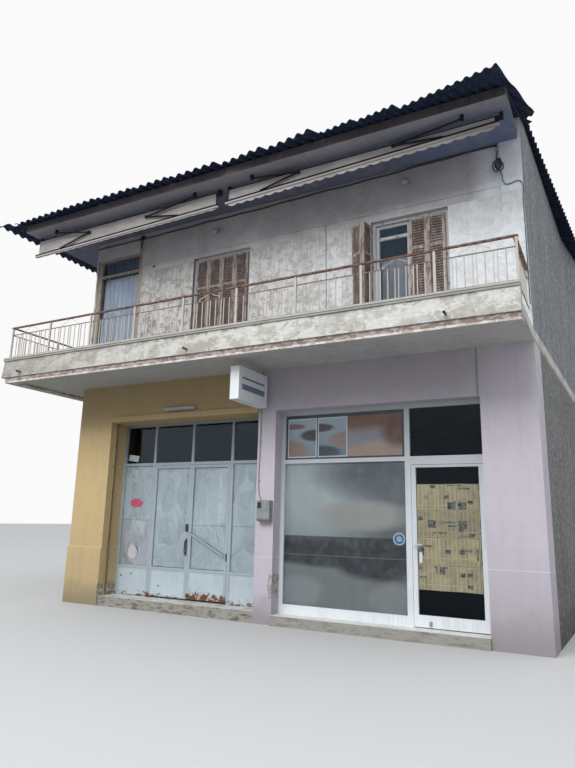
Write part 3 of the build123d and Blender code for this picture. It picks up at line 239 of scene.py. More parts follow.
takes = {"Vector": None, "Paint": (0.5, 0.5, 0.5, 1), "Stain": (0.2, 0.2, 0.2, 1)}
takes.update(Mottle=0.5, Streaks=0.3, Grain=60.0)
weathered, given, result = group("weathered_render", takes, ("Color", "Roughness", "Height"))
place = given["Vector"]
broad = span(noise(place, 0.9, 6, 0.62), 0.35, 0.68)
fine = span(noise(place, 7.0, 8, 0.7), 0.3, 0.72)
drips = span(noise(stretched(place, (6.0, 6.0, 0.35)), 1.6, 7, 0.66, 0.4), 0.5, 0.72)
speck = span(noise(place, given["Grain"], 4, 0.7), 0.25, 0.8)
shade = layers(
    given["Paint"],
    (times(broad, fine, given["Mottle"]), given["Stain"]),
    (times(drips, given["Streaks"]), given["Stain"]),
    (times(speck, 0.10), (0.02, 0.02, 0.02)),
)
fill(result["Color"], shade)
fill(result["Roughness"], span(fine, 0, 1, 0.78, 0.95))
fill(result["Height"], plus(times(speck, 0.35), times(fine, 0.65)))

splash, given, result = group("ground_splash", {"Vector": None, "Reach": 0.5}, ("Mask",))
edge = times(noise(given["Vector"], 3.2, 7, 0.7), given["Reach"])
near = combine("DIVIDE", axes(given["Vector"])["Z"], plus(edge, 0.02))
fill(result["Mask"], span(near, 0.3, 1.7, 0.85, 0.0))

takes = {"Vector": None, "Tone": (0.5, 0.5, 0.5, 1), "Hollow": (0.1, 0.1, 0.1, 1), "Stone": (0.5, 0.5, 0.5, 1)}
rough_cast, given, result = group("rough_cast", takes, ("Color", "Height"))
pebbles = span(noise(given["Vector"], 15.0, 4, 0.85), 0.40, 0.60)
# Painted shade: the hollows between the pebbles are darkened toward the hollow tone.
tone = blend(pebbles, blend(0.62, given["Tone"], given["Hollow"]), given["Tone"])
paler = span(noise(given["Vector"], 11.0, 4, 0.85), 0.56, 0.64, 0.0, 0.7)
fill(result["Color"], blend(paler, tone, given["Stone"]))
fill(result["Height"], pebbles)

within, given, result = group("inside_walls", {"Vector": None, "Front": 0.45}, ("Mask",))
x, y, z = axes(given["Vector"])
between_sides = times(combine("GREATER_THAN", x, 0.15), combine("LESS_THAN", x, 8.1))
between_fronts = times(combine("GREATER_THAN", y, given["Front"]), combine("LESS_THAN", y, 8.2))
fill(result["Mask"], times(between_sides, between_fronts))


def weather(place, paint, stain, mottle, streaks, grain):
    """The looks of a weathered coat of render."""
    return use_group(weathered, place, Paint=paint, Stain=stain, Mottle=mottle, Streaks=streaks, Grain=grain)


def shade_indoors(place, front, tone, dark):
    """The tone outside, and painted shade, a dark tone, on what faces the empty rooms."""
    return blend(use_group(within, place, Front=front)["Mask"], tone, dark)


def start_material(name):
    """New material; returns it with the piece's own coordinates."""
    made = bpy.data.materials.new(name)
    made.use_nodes = True
    return made, add_node(made.node_tree, "TexCoord").outputs["Object"]


def cover(made, colour, roughness, relief=None, **sockets):
    """Gives a material's shader its colour, roughness, relief (height, strength, depth) and the rest."""
    inputs = made.node_tree.nodes["Principled BSDF"].inputs
    fill(inputs["Base Color"], colour)
    fill(inputs["Roughness"], roughness)
    for label, value in sockets.items():
        fill(inputs[label.replace("_", " ")], value)
    if relief:
        links = dict(zip(("Height", "Strength", "Distance"), relief))
        fill(inputs["Normal"], add_node(made.node_tree, "Bump", links).outputs[0])
    return made


def render_material(name, paint, stain, soil, mottle, streaks, grain, reach, bump, line=None, chip=None):
    """A rendered wall: stains, splashed dirt, painted shade under the slab, a painted highlight on the dado
    line, a chipped spot, or rough-cast.
    """
    made, place = start_material(name)
    x, y, z = axes(place)
    looks = weather(place, paint, stain, mottle, streaks, grain)
    soiled = combine("MAXIMUM", span(x, 4.5, 7.5, 0.12, 0.62), span(x, 1.0, 3.5, 0.26, 0.0))
    tone = layers(
        looks["Color"],
        (use_group(splash, place, Reach=reach)["Mask"], soil),
        (times(span(z, 0.15, 1.3, 1.0, 0.0), soiled), soil),
    )
    height = looks["Height"]
    if line == "rough-cast":
        # Rough-cast with painted shade in the hollows between its pebbles.
        pebbled = use_group(rough_cast, place, Tone=tone, Hollow=(0.07, 0.07, 0.07), Stone=(0.50, 0.50, 0.49))
        tone = pebbled["Color"]
        height = plus(height, pebbled["Height"])
    elif line:
        painted_slab_shade = plus(span(x, 7.2, 7.8, 1.0, 0.0), span(x, 3.9, 4.1, 0.55, 0.0))
        away = plus(ellipse(x, z, chip[:2], chip[2:]), times(noise(place, 17.0, 8, 0.7), 3.4))
        tone = layers(
            tone,
            # Painted shade under the balcony slab: the lintels darken towards their top.
            (times(span(z, 3.05, 3.5, 0.0, 0.30), painted_slab_shade), tinted(paint, 0.25)),
            # Painted highlight: a pale line along the dado level, as if its ledge caught the light.
            (span(apart(z, line), 0.004, 0.008, 0.55, 0.0), tuple(part**0.6 for part in paint)),
            (span(away, 2.0, 2.35, 0.75, 0.0), tinted(soil, 0.3)),
            (span(away, 1.85, 1.95, 1.0, 0.0), (0.52, 0.50, 0.46)),
        )
    # Painted shade: a near-black tone on the faces toward the empty rooms.
    tone = shade_indoors(place, 0.45, tone, (0.035, 0.036, 0.04))
    return cover(made, tone, looks["Roughness"], (height, bump, 0.01), Specular_IOR_Level=0.25)


def finish_nodes(material, *names):
    """Gives nodes of the frame their finish."""
    for name in names:
        for slot in nodes[name].material_slots:
            slot.material = material


yellow = ((0.66, 0.50, 0.27), (0.50, 0.36, 0.18), (0.30, 0.25, 0.17), 0.55, 0.25, 70.0, 0.5, 0.35)
mauve = ((0.64, 0.59, 0.66), (0.45, 0.41, 0.45), (0.34, 0.31, 0.32), 0.45, 0.2, 70.0, 0.55, 0.3)
cement = ((0.38, 0.38, 0.37), (0.14, 0.14, 0.14), (0.12, 0.12, 0.11), 0.8, 0.7, 38.0, 0.6, 0.9)
yellow = render_material("yellow_render", *yellow, 0.993, (0.84, 0.24, 0.075, 0.17))
mauve = render_material("mauve_render", *mauve, 0.985, (4.33, 0.57, 0.06, 0.24))
finish_nodes(yellow, "yellow_pier", "left_shop_lintel", "ground_left_wall")
finish_nodes(mauve, "mauve_pillar", "right_shop_lintel", "right_front_pier")
cement = render_material("grey_cement", *cement, "rough-cast")
finish_nodes(cement, "ground_right_wall", "ground_rear_wall")

# Floor slab inside
# Cast concrete with a bare screed, seen only through the open doors.
screed = ((0.30, 0.29, 0.28), (0.16, 0.15, 0.14), (0.2, 0.2, 0.2), 0.7, 0.0, 50.0, 0.01, 0.3)
finish_nodes(render_material("bare_screed", *screed), "ground_floor_slab")

# Balcony slab and its kerb
# Cast concrete: a grey underside, a drip band whose red-brown coat flakes over white, and on the slab
# a leaning white kerb with rust streaks below the coping.
drip_band_top = 4.019
kerb_top = 4.339
slab_underside = 3.97

takes = {"Vector": None, "Scale": 4.0, "Amount": 0.5}
flaking, given, result = group("flaking_paint", takes, ("Mask", "Edge"))
shape = noise(given["Vector"], given["Scale"], 9, 0.68, 0.15)
past = minus(shape, minus(0.72, times(given["Amount"], 0.4)))
fill(result["Mask"], span(past, 0.0, 0.018))
fill(result["Edge"], span(past, -0.03, 0.03))


def flakes(place, scale, amount, stretch=None):
    """The looks of flaking paint: where it is off, and its edges."""
    return use_group(flaking, stretched(place, stretch) if stretch else place, Scale=scale, Amount=amount)


def facing(place):
    """The three parts of the surface's normal."""
    return axes(add_node(place.id_data, "NewGeometry").outputs["Normal"])


concrete, place = start_material("balcony_concrete")
x, y, z = axes(place)
mottle = span(x, -1.0, 7.5, 1.0, 0.65)
streaks = span(x, -1.0, 7.5, 0.6, 0.35)
white = weather(place, (0.69, 0.68, 0.64), (0.25, 0.22, 0.19), mottle, streaks, 55.0)
rust = span(noise(stretched(place, (2.2, 2.2, 0.8)), 2.4, 8, 0.7, 0.3), 0.6, 0.72)
coping_shadow_level = plus(z, times(noise(stretched(place, (5, 5, 1)), 3.0, 7, 0.7), 0.09))
burnt = span(noise(stretched(place, (4, 4, 6)), 2.6, 8, 0.75, 0.4), 0.5, 0.58)
burnt = times(burnt, span(z, 4.04, 4.13, 0.9, 0.0), span(x, -0.9, -0.3, 1.0, 0.12))
scuffed = times(flakes(place, 3.4, 0.60, (1, 1, 1.6))["Mask"], span(x, -1.0, 8.0, 0.75, 0.45))
pale = times(flakes(place, 3.1, 0.56, (1, 1, 1.5))["Mask"], span(x, -0.5, 5.0, 0.16, 0.75))
kerb = layers(
    white["Color"],
    (scuffed, (0.43, 0.40, 0.34)),
    (times(rust, 0.7), (0.30, 0.17, 0.11)),
    # Painted shadow and dirt: darker along the top of the kerb, under the coping.
    (span(coping_shadow_level, kerb_top - 0.012, kerb_top + 0.05, 0.0, 0.6), (0.12, 0.105, 0.09)),
    (span(x, 0.5, 5.0, 0.36, 0.0), (0.24, 0.22, 0.19)),
    (pale, (0.74, 0.73, 0.69)),
    (burnt, (0.05, 0.045, 0.04)),
)
flaked = flakes(place, 9.0, 0.60, (1, 1, 2.0))
ledge = plus(z, times(noise(place, 9.0, 6, 0.7), 0.03))
low_strip = span(ledge, slab_underside - 0.014, slab_underside - 0.006, 1.0, 0.0)
red_coat = blend(span(noise(place, 18, 6), 0.3, 0.7), (0.41, 0.275, 0.225), (0.64, 0.51, 0.46))
band = layers(
    # Painted shade: the upper strip of the band, under the kerb's lip, is darkened; the low strip keeps the
    # plain red coat.
    blend(low_strip, blend(0.62, red_coat, (0.13, 0.085, 0.075)), red_coat),
    (times(flaked["Mask"], span(low_strip, 0.0, 1.0, 0.35, 1.0)), (0.78, 0.75, 0.71)),
    (times(low_strip, 0.30), (0.74, 0.71, 0.67)),
)
outer = blend(span(z, drip_band_top - 0.002, drip_band_top + 0.002), band, kerb)
paint = blend(span(x, 1.0, 7.5), (0.50, 0.50, 0.48), (0.66, 0.63, 0.61))
underside = weather(place, paint, (0.30, 0.29, 0.28), 0.6, 0.0, 40.0)
shade = blend(span(facing(place)["Z"], -0.7, -0.5, 1.0, 0.0), outer, underside["Color"])
cover(concrete, shade, white["Roughness"], (plus(white["Height"], flaked["Edge"]), 0.5, 0.012))
finish_nodes(concrete, "balcony_slab", "balcony_kerb")

# Marble coping and steps
# Thin white marble slabs bedded in mortar on the kerb, and the two shops' steps of the same stone,
# dulled by feet and weather.
bed_top = 4.374
marble, place = start_material("worn_marble")
x, y, z = axes(place)
on_coping = span(z, 4.0, 4.1)
on_steps = span(z, 0.5, 0.6, 1.0, 0.0)
cloud = span(noise(place, 3.0, 8, 0.65, 0.5), 0.3, 0.7)
vein = minus(1.0, apart(span(noise(place, 5.5, 9, 0.55, 1.6), 0.47, 0.5), 0.5))
grime = span(noise(stretched(place, (3, 3, 12)), 3.0, 8, 0.7), 0.56, 0.75)
trodden = times(span(facing(place)["Z"], 0.3, 0.6, 0.75, 0.0), span(z, 0.5, 0.6, 1.0, 0.38))
left_step = times(span(x, 3.9, 4.1, 1.0, 0.0), on_steps)
mottle = span(noise(stretched(place, (1.0, 4.0, 4.0)), 5.0, 8, 0.75, 0.3), 0.50, 0.60)
shade = layers(
    blend(cloud, (0.76, 0.77, 0.75), (0.58, 0.58, 0.55)),
    (times(on_coping, 0.22), (0.20, 0.20, 0.19)),
    (span(vein, 0.96, 1.0, 0.0, 0.18), (0.35, 0.36, 0.38)),
    (times(grime, 0.7), (0.30, 0.27, 0.22)),
    (trodden, blend(grime, (0.27, 0.25, 0.21), (0.11, 0.095, 0.075))),
    (times(left_step, mottle, 0.8), (0.10, 0.09, 0.07)),
    (times(left_step, 0.15), (0.30, 0.27, 0.21)),
    (times(mottle, 0.6, trodden), (0.09, 0.075, 0.055)),
    (
        times(span(z, bed_top, bed_top + 0.004, 1.0, 0.0), on_coping),
        blend(cloud, (0.40, 0.39, 0.355), (0.29, 0.28, 0.25)),
    ),
    (span(apart(z, bed_top - 0.004), 0.005, 0.009, 0.85, 0.0), (0.08, 0.075, 0.065)),
)
cover(marble, shade, span(cloud, 0, 1, 0.45, 0.7), (cloud, 0.15, 0.004))
finish_nodes(marble, "balcony_coping", "stone_steps")

# Drain spouts
# Short zinc pipes that let rain off the balcony, dull and rust-stained.


def mottled_material(name, tones, gloss, clouds, limits, relief=(), **sockets):
    """A material between two tones and two roughnesses, mottled by clouds that show within limits."""
    made, place = start_material(name)
    patch = span(noise(place, *clouds), *limits)
    relief = (patch, *relief) if relief else None
    return cover(made, blend(patch, *tones), span(patch, 0, 1, *gloss), relief, **sockets)


tones = (0.20, 0.20, 0.20), (0.22, 0.12, 0.07)
zinc = (tones, (0.5, 0.85), (30, 6, 0.7), (0.4, 0.65), (0.3, 0.002))
finish_nodes(mottled_material("dull_zinc", *zinc, Metallic=0.6), "drain_spouts")

# Walls of the flat
# White limewashed render, streaked black by rain under the eaves, with the coat gone in patches. The
# ring beam over the openings is darker, and the party wall is rough-cast.
beam_foot = 6.25
limewash, place = start_material("limewashed_render")
x, y, z = axes(place)
dirtier = span(x, 2.0, 7.4, 1.0, 0.16)
# Darker towards the left: dirt and painted shade.
paint = blend(span(x, 3.5, 7.2), (0.665, 0.655, 0.648), (0.84, 0.865, 0.90))
white = weather(place, paint, (0.34, 0.33, 0.31), times(dirtier, 0.85), times(dirtier, 0.6), 50.0)
bare = flakes(place, 2.6, 0.5, (1, 1, 0.8))
small = flakes(place, 11.0, 0.50)
ragged = noise(stretched(place, (3.2, 3.2, 0.55)), 2.0, 9, 0.72, 0.3)
washed = times(span(plus(z, times(ragged, 1.7)), 6.35, 7.25), span(dirtier, 0, 1, 0.30, 0.86))
thin_drips = noise(stretched(place, (26.0, 26.0, 0.9)), 1.4, 6, 0.7, 0.3)
soot = times(span(thin_drips, 0.48, 0.68), span(z, 4.9, 6.4, 0.1, 1.0), dirtier)
beam = blend(span(noise(place, 2.5, 7), 0.3, 0.7), (0.55, 0.53, 0.55), (0.40, 0.385, 0.40))
beam = blend(span(x, 7.55, 7.8), beam, (0.74, 0.77, 0.83))
hole = span(ellipse(x, z, (1.512, 6.316)), 0.0005, 0.0009, 1.0, 0.0)
shade = layers(
    white["Color"],
    (times(bare["Mask"], dirtier, 0.62), (0.42, 0.405, 0.385)),
    (times(small["Mask"], dirtier, 0.85), (0.27, 0.24, 0.215)),
    (washed, (0.36, 0.355, 0.355)),
    (times(soot, 0.75), (0.12, 0.115, 0.105)),
    (span(plus(z, times(ragged, 0.03)), beam_foot, beam_foot + 0.03), beam),
    (hole, (0.02, 0.02, 0.02)),
)
gritty = weather(place, (0.37, 0.385, 0.41), (0.13, 0.13, 0.14), 0.8, 0.8, 38.0)
# Painted shade in the hollows of the rough-cast side.
stones = {"Hollow": (0.07, 0.07, 0.075), "Stone": (0.50, 0.51, 0.52)}
pebbled = use_group(rough_cast, place, Tone=gritty["Color"], **stones)
rough = blend(times(soot, 0.6), pebbled["Color"], (0.05, 0.05, 0.05))
side = span(facing(place)["X"], 0.5, 0.6)
# Painted shade: a near-black tone on the faces toward the empty rooms.
shade = shade_indoors(place, 0.25, blend(side, shade, rough), (0.050, 0.060, 0.080))
heights = plus(minus(white["Height"], plus(bare["Edge"], small["Edge"])), times(side, pebbled["Height"]))
cover(limewash, shade, white["Roughness"], (heights, 0.45, 0.01))
finish_nodes(limewash, "upper_front_wall", "upper_left_wall", "upper_rear_wall", "upper_right_wall")

# Roof slab
# Cast concrete eaves: a soffit gone grey-brown, with painted shade darker and bluer deeper in, and a thin
# edge with old limewash, dark with dirt and painted shade under the roof sheets.
eaves, place = start_material("eaves_concrete")
x, y, z = axes(place)
deep_soffit_shade = blend(span(x, 4.5, 8.0), (0.135, 0.147, 0.215), (0.165, 0.200, 0.340))
# Painted shade: the soffit is paler at its front edge and darker and bluer deeper in.
paint = blend(span(y, -1.0, -0.6), (0.33, 0.325, 0.36), deep_soffit_shade)
soffit = weather(place, paint, (0.10, 0.10, 0.115), 0.5, 0.0, 40.0)
damp = blend(times(flakes(place, 3.0, 0.42)["Mask"], 0.3), soffit["Color"], (0.27, 0.265, 0.28))
# The edge is dark with dirt and painted shade under the roof sheets.
edge = weather(place, (0.105, 0.09, 0.10), (0.035, 0.034, 0.045), 1.0, 0.6, 50.0)
shade = blend(span(facing(place)["Z"], -0.7, -0.5, 1.0, 0.0), edge["Color"], damp)
# Painted shade: a near-black tone on the faces toward the empty rooms.
shade = shade_indoors(place, 0.25, shade, (0.030, 0.042, 0.064))
cover(eaves, shade, soffit["Roughness"], (soffit["Height"], 0.4, 0.01))
finish_nodes(eaves, "roof_slab")

# Roof sheets
# Corrugated fibre-cement sheets laid by hand over the roof, dark with age and lichen, and the ridge caps
# folded from the same sheet. Along the eaves painted shade makes them nearly black and bluish.
fibre_cement, place = start_material("old_fibre_cement")
x, y, z = axes(place)
aged = span(noise(place, 2.2, 8, 0.68), 0.3, 0.7)
beyond_eave_shade = combine("MAXIMUM", span(y, 4.5, 7.5), span(z, 7.45, 7.9))
lichen = flakes(place, 26.0, 0.36)
shade = layers(
    # Painted shade: near the eaves the sheets are darker and bluer; further off they keep a plain grey.
    blend(aged, (0.010, 0.018, 0.046), (0.026, 0.038, 0.078)),
    (times(beyond_eave_shade, 0.85), blend(aged, (0.022, 0.024, 0.030), (0.060, 0.062, 0.068))),
    (times(lichen["Mask"], 0.6), (0.13, 0.15, 0.17)),
)
grit = plus(noise(place, 160.0, 4, 0.7), lichen["Edge"])
cover(fibre_cement, shade, span(aged, 0, 1, 0.75, 0.92), (grit, 0.35, 0.004), Specular_IOR_Level=0.15)
sheet_nodes = [node for node in nodes if node.endswith("roof_sheets")]
finish_nodes(fibre_cement, "main_roof", "ridge_caps", *sheet_nodes)

# Steel shopfront on the left
# A welded steel frame and a pair of leaves, painted pale grey long ago. Rust comes through along the
# bottom rails and at the joints; the pressed sheet panels have kept a lighter coat.
takes = {"Vector": None, "Paint": (0.5, 0.5, 0.5, 1), "Dirt": (0.2, 0.18, 0.15, 1), "Rust": 0.3}
painted_metal, given, result = group("painted_metal", takes, ("Color", "Roughness", "Height"))
place = given["Vector"]
haze = span(noise(place, 2.3, 7, 0.66), 0.35, 0.7)
haze = times(haze, span(noise(stretched(place, (14, 14, 1.2)), 2.0, 6, 0.65), 0.3, 0.7))
bare = minus(0.78, times(given["Rust"], 0.42))
spot = span(minus(noise(place, 16.0, 9, 0.72, 0.2), bare), 0.0, 0.03)
grains = span(noise(place, 90.0, 5, 0.7), 0.3, 0.7)
rust = blend(grains, (0.085, 0.035, 0.018), (0.23, 0.10, 0.045))
fill(result["Color"], layers(given["Paint"], (times(haze, 0.45), given["Dirt"]), (spot, rust)))
fill(result["Roughness"], span(spot, 0, 1, 0.42, 0.88))
fill(result["Height"], times(spot, plus(grains, 0.5)))


def metal_material(name, paint, dirt_and_shade, rust, foot=None):
    """Painted metal. On a shopfront that starts at a foot level, rust gathers low, and painted shade under the
    lintel darkens it high up.
    """
    made, place = start_material(name)
    if foot is not None:
        x, y, z = axes(place)
        paint = layers(
            paint,
            (span(y, panel_face - 0.0005, panel_face + 0.0005), tinted(paint, 1.25, 0.8)),
            # Painted shade: darker towards the top, under the lintel.
            (span(z, 2.35, 2.85, 0.0, 0.55), tinted(dirt_and_shade, 0.6)),
        )
        ragged = plus(z, times(noise(place, 14.0, 7, 0.7), 0.144))
        rust = plus(times(span(ragged, foot, foot + 0.232, 1.0, 0.0), 0.75), rust)
    looks = use_group(painted_metal, place, Paint=paint, Dirt=dirt_and_shade, Rust=rust)
    return cover(made, looks["Color"], looks["Roughness"], (looks["Height"], 0.4, 0.002))


panel_face = 0.4100
old_grey = ((0.42, 0.49, 0.53), (0.22, 0.23, 0.23))
grey_paint = metal_material("old_grey_paint", *old_grey, 0.22, 0.17)
finish_nodes(grey_paint, "steel_front_frame", "steel_leaf_left")
finish_nodes(metal_material("rusted_grey_paint", *old_grey, 0.30, 0.235), "steel_leaf_right")


def glass_material(name, bend, reflection_tint=(0.66, 0.83, 1.0)):
    """Window glass with smears of dust; bend is its index of refraction, and the tint paints a sky-blue
    reflection.
    """
    made, place = start_material(name)
    smear = span(noise(stretched(place, (3, 3, 1.5)), 2.0, 7, 0.65, 0.6), 0.35, 0.75)
    tone = blend(smear, (0.90, 0.95, 0.98), (0.84, 0.88, 0.90))
    sockets = {"Transmission_Weight": 1.0, "IOR": bend, "Specular_Tint": reflection_tint}
    return cover(made, tone, span(smear, 0, 1, 0.015, 0.09), **sockets)


pane_glass = glass_material("shop_pane", 1.34)
finish_nodes(pane_glass, "steel_front_glass", "steel_leaf_left_glass", "steel_leaf_right_glass")
# Its painted reflection is a deeper blue.
finish_nodes(glass_material("thin_pane", 1.16, (0.50, 0.70, 1.0)), "upper_glass")

# Papers inside the left shopfront
# Sheets of white paper taped over the lower lights from inside, creased and sagging; the first light
# is patched with torn pieces. They move with the two leaves.
paper_y_frame = 0.4405
paper_y_leaf = 0.4385
overlap = 0.003


def start(add, **settings):
    """Adds a primitive with nothing else selected."""
    bpy.ops.object.select_all(action="DESELECT")
    add(**settings)
    return bpy.context.object


def pick(*pieces):
    """Selects pieces, with the first of them active."""
    bpy.ops.object.select_all(action="DESELECT")
    for piece in pieces:
        piece.select_set(True)
    bpy.context.view_layer.objects.active = pieces[0]


def settle(piece, name, body, finish=None):
    """Bakes a modelled piece's place into its mesh; gives it name, body, slot and finish."""
    pick(piece)
    bpy.ops.object.transform_apply()
    piece.name = name
    piece.data.name = name
    if finish:
        piece.data.materials.clear()
        piece.data.materials.append(finish)
    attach(piece, body)
    piece.select_set(False)
    return piece


def join(pieces):
    """Joins pieces into the first of them."""
    pick(*pieces)
    if len(pieces) > 1:
        bpy.ops.object.join()
    return pieces[0]


def paper_material(name, colour, fold_scale):
    """Paper with soft clouds of grime and painted shade, painted shade on its facets, painted highlights on
    its creases, and a painted shadow line where upper sheets lap over low ones.
    """
    made, place = start_material(name)
    tree = made.node_tree
    x, y, z = axes(place)
    links = {"Vector": place, "Scale": 2.6, "Detail": 4.0}
    bent = add_node(tree, "TexNoise", links).outputs["Color"]
    bent = add_node(tree, "VectorMath", {0: bent, "Scale": 0.30}, operation="SCALE").outputs[0]
    bent = add_node(tree, "VectorMath", {0: place, 1: bent}, operation="ADD").outputs[0]
    links = {"Vector": bent, "Rotation": (0.0, 0.6, 0.0), "Scale": (1.0, 1.0, 0.5)}
    turned = add_node(tree, "Mapping", links).outputs[0]
    links = {"Vector": turned, "Scale": fold_scale, "Randomness": 1.0}
    fold = add_node(tree, "TexVoronoi", links, feature="DISTANCE_TO_EDGE").outputs["Distance"]
    facet_shade = add_node(tree, "TexVoronoi", links).outputs["Color"]
    facet_shade = add_node(tree, "SeparateColor", {0: facet_shade}).outputs[0]
    soft = span(noise(stretched(place, (1.0, 1.0, 0.7)), 3.0, 6, 0.6, 0.4), 0.3, 0.72)
    lap_shadow_level = span(x, 2.40, 2.42, 1.489, 1.424)
    off_second_light = combine("GREATER_THAN", apart(x, 2.0), 0.41)
    tone = layers(
        colour,
        # Soft darker clouds: grime and painted shade.
        (times(soft, 0.55), tinted(colour, 0.68)),
        # Painted shade: each crumpled facet darker by its own amount.
        (times(facet_shade, 0.36), tinted(colour, 0.50)),
        # Painted highlight along the creases.
        (times(span(fold, 0.0, 0.03, 1.0, 0.0), 0.30), tinted(colour, 1.35, 0.88)),
        # Painted shadow line under the lower edge of the upper sheets.
        (times(off_second_light, span(apart(z, lap_shadow_level), 0.004, 0.009, 0.55, 0.0)), tinted(colour, 0.3)),
    )
    return cover(made, tone, 0.85, (plus(span(fold, 0.0, 0.30), soft), 1.0, 0.02))


def paper(low, high, y, swell, seed, lean=0.0):
    """A creased sheet of paper between two corners (x, z), standing at depth y."""
    made = start(bpy.ops.mesh.primitive_grid_add, x_subdivisions=26, y_subdivisions=40, size=1)
    made.scale = (high[0] - low[0], high[1] - low[1], 1)
    made.rotation_euler = (math.radians(90), math.radians(lean), 0)
    made.location = ((low[0] + high[0]) / 2, y, (low[1] + high[1]) / 2)
    bpy.ops.object.transform_apply(location=False, rotation=False, scale=True)
    clouds = bpy.data.textures.new("crease", "CLOUDS")
    clouds.noise_scale = 0.16
    clouds.noise_depth = 3
    push = made.modifiers.new("crease", "DISPLACE")
    push.texture = clouds
    push.strength = swell
    push.texture_coords = "OBJECT"
    bpy.ops.object.empty_add(location=(seed * 1.7, seed * 0.9, seed))
    anchor = bpy.context.object
    push.texture_coords_object = anchor
    pick(made)
    bpy.ops.object.modifier_apply(modifier=push.name)
    bpy.data.objects.remove(anchor)
    return made


white_paper = paper_material("creased_paper", (0.66, 0.725, 0.76), 4.6)
grey_paper = paper_material("greyed_paper", (0.64, 0.64, 0.66), 4.0)
bright_paper = paper_material("bright_paper", (0.80, 0.85, 0.87), 7.0)

first_y, over_y = paper_y_frame, paper_y_frame + overlap
leaf_y, over_leaf_y = paper_y_leaf, paper_y_leaf + overlap
sheets = (
    ("paper_first_low", "house", grey_paper, (0.870, 0.690), (1.532, 1.498), first_y, 0.004, 1),
    ("paper_first", "house", white_paper, (0.870, 1.480), (1.532, 2.476), over_y, 0.004, 31),
    ("paper_second", "left_leaf", white_paper, (1.652, 0.695), (2.374, 2.418), leaf_y, 0.004, 2),
    ("paper_third_low", "right_leaf", white_paper, (2.492, 0.695), (3.196, 1.432), leaf_y, 0.004, 3),
    ("paper_third", "right_leaf", white_paper, (2.492, 1.414), (3.196, 2.418), over_leaf_y, 0.004, 33),
    ("paper_strip", "right_leaf", bright_paper, (3.010, 1.440), (3.180, 2.410), leaf_y - 0.002, 0.002, 34),
    ("paper_fourth_low", "house", white_paper, (3.315, 0.690), (3.972, 1.474), first_y, 0.004, 4),
    ("paper_fourth", "house", white_paper, (3.315, 1.458), (3.972, 2.476), over_y, 0.004, 35),
)
papers = [paper(*sheet) for name, body, finish, *sheet in sheets]
for piece, (name, body, finish, *_) in zip(papers, sheets):
    settle(piece, name, body, finish)

torn = (
    ((0.905, 2.575), (1.150, 2.690), paper_y_frame, 5, 9),
    ((1.010, 2.190), (1.170, 2.410), paper_y_frame - overlap, 6, -3),
    ((1.080, 1.230), (1.420, 1.490), paper_y_frame - overlap, 7, 6),
    ((1.110, 0.815), (1.300, 1.030), paper_y_frame - overlap, 8, 28),
)
patches = [paper(low, high, y, 0.003, seed, lean) for low, high, y, seed, lean in torn]
settle(join(patches), "torn_papers", "house", bright_paper)

# Stickers, lock and bars of the steel leaves
# Two worn stickers on the first light, a rim lock and a pull on the left leaf, a flat bar screwed
# slantwise over the right leaf, the slot of a second lock and screw holes; black iron and plain steel.
steel_face = 0.407
sticker_y = 0.4285
lock_x = 2.395
bare_gap = 0.0004
black_iron = metal_material("black_iron", (0.028, 0.028, 0.030), (0.015, 0.014, 0.013), 0.25)


def round_edges(width):
    """Rounds off all edges of the mesh at hand."""
    bpy.ops.object.mode_set(mode="EDIT")
    bpy.ops.mesh.select_all(action="SELECT")
    bpy.ops.mesh.bevel(offset=width, segments=2, affect="EDGES")
    bpy.ops.object.mode_set(mode="OBJECT")


def cube_between(low, high, round_off=0.0):
    """A block between two corners with its edges rounded off."""
    centre = [(a + b) / 2 for a, b in zip(low, high)]
    made = start(bpy.ops.mesh.primitive_cube_add, size=1, location=centre)
    made.scale = [b - a for a, b in zip(low, high)]
    bpy.ops.object.transform_apply(rotation=False)
    if round_off:
        round_edges(round_off)
    return made


def bar_between(start_point, end_point, width, thick, round_off):
    """Flat bar from one point to another, lying against the plane y."""
    run = Vector(end_point) - Vector(start_point)
    half = Vector((run.length / 2, thick / 2, width / 2))
    made = cube_between(-half, half, round_off)
    made.rotation_euler = (0, -math.atan2(run.z, run.x), 0)
    made.location = (Vector(start_point) + Vector(end_point)) / 2
    bpy.ops.object.transform_apply()
    return made


def curve_through(points):
    """A smooth curve through the points."""
    made = start(bpy.ops.curve.primitive_bezier_curve_add)
    made.data.dimensions = "3D"
    run = made.data.splines[0]
    run.bezier_points.add(len(points) - 2)
    for point, place in zip(run.bezier_points, points):
        point.co = place
        point.handle_left_type = "AUTO"
        point.handle_right_type = "AUTO"
    made.location = (0, 0, 0)
    return made


def round_bar(points, radius, resolution=4):
    """Round bar or cable through the points."""
    made = curve_through(points)
    made.data.bevel_depth = radius
    made.data.bevel_resolution = 2
    made.data.resolution_u = resolution
    made.data.use_fill_caps = True
    bpy.ops.object.convert(target="MESH")
    bpy.ops.object.shade_smooth()
    return bpy.context.object


def disc(x, y, z, radius, thick, sides=28):
    """Round plate facing the street, its edges rounded off."""
    size = {"vertices": sides, "radius": radius, "depth": thick}
    made = start(bpy.ops.mesh.primitive_cylinder_add, location=(x, y, z), **size)
    made.rotation_euler = (math.radians(90), 0, 0)
    bpy.ops.object.transform_apply()
    round_edges(min(thick, radius) * 0.3)
    return made


def worn_disc(x, z, radius, squash, *lobes):
    """A round sticker whose edge is worn in lobes, each with its depth, count and turn."""
    made = disc(x, sticker_y, z, radius, 0.001, 40)
    for vertex in made.data.vertices:
        across, up = vertex.co.x - x, vertex.co.z - z
        angle = math.atan2(up, across)
        reach = 1 + sum(depth * math.cos(count * angle + turn) for depth, count, turn in lobes)
        vertex.co.x = x + across * reach
        vertex.co.z = z + up * squash * reach
    return made


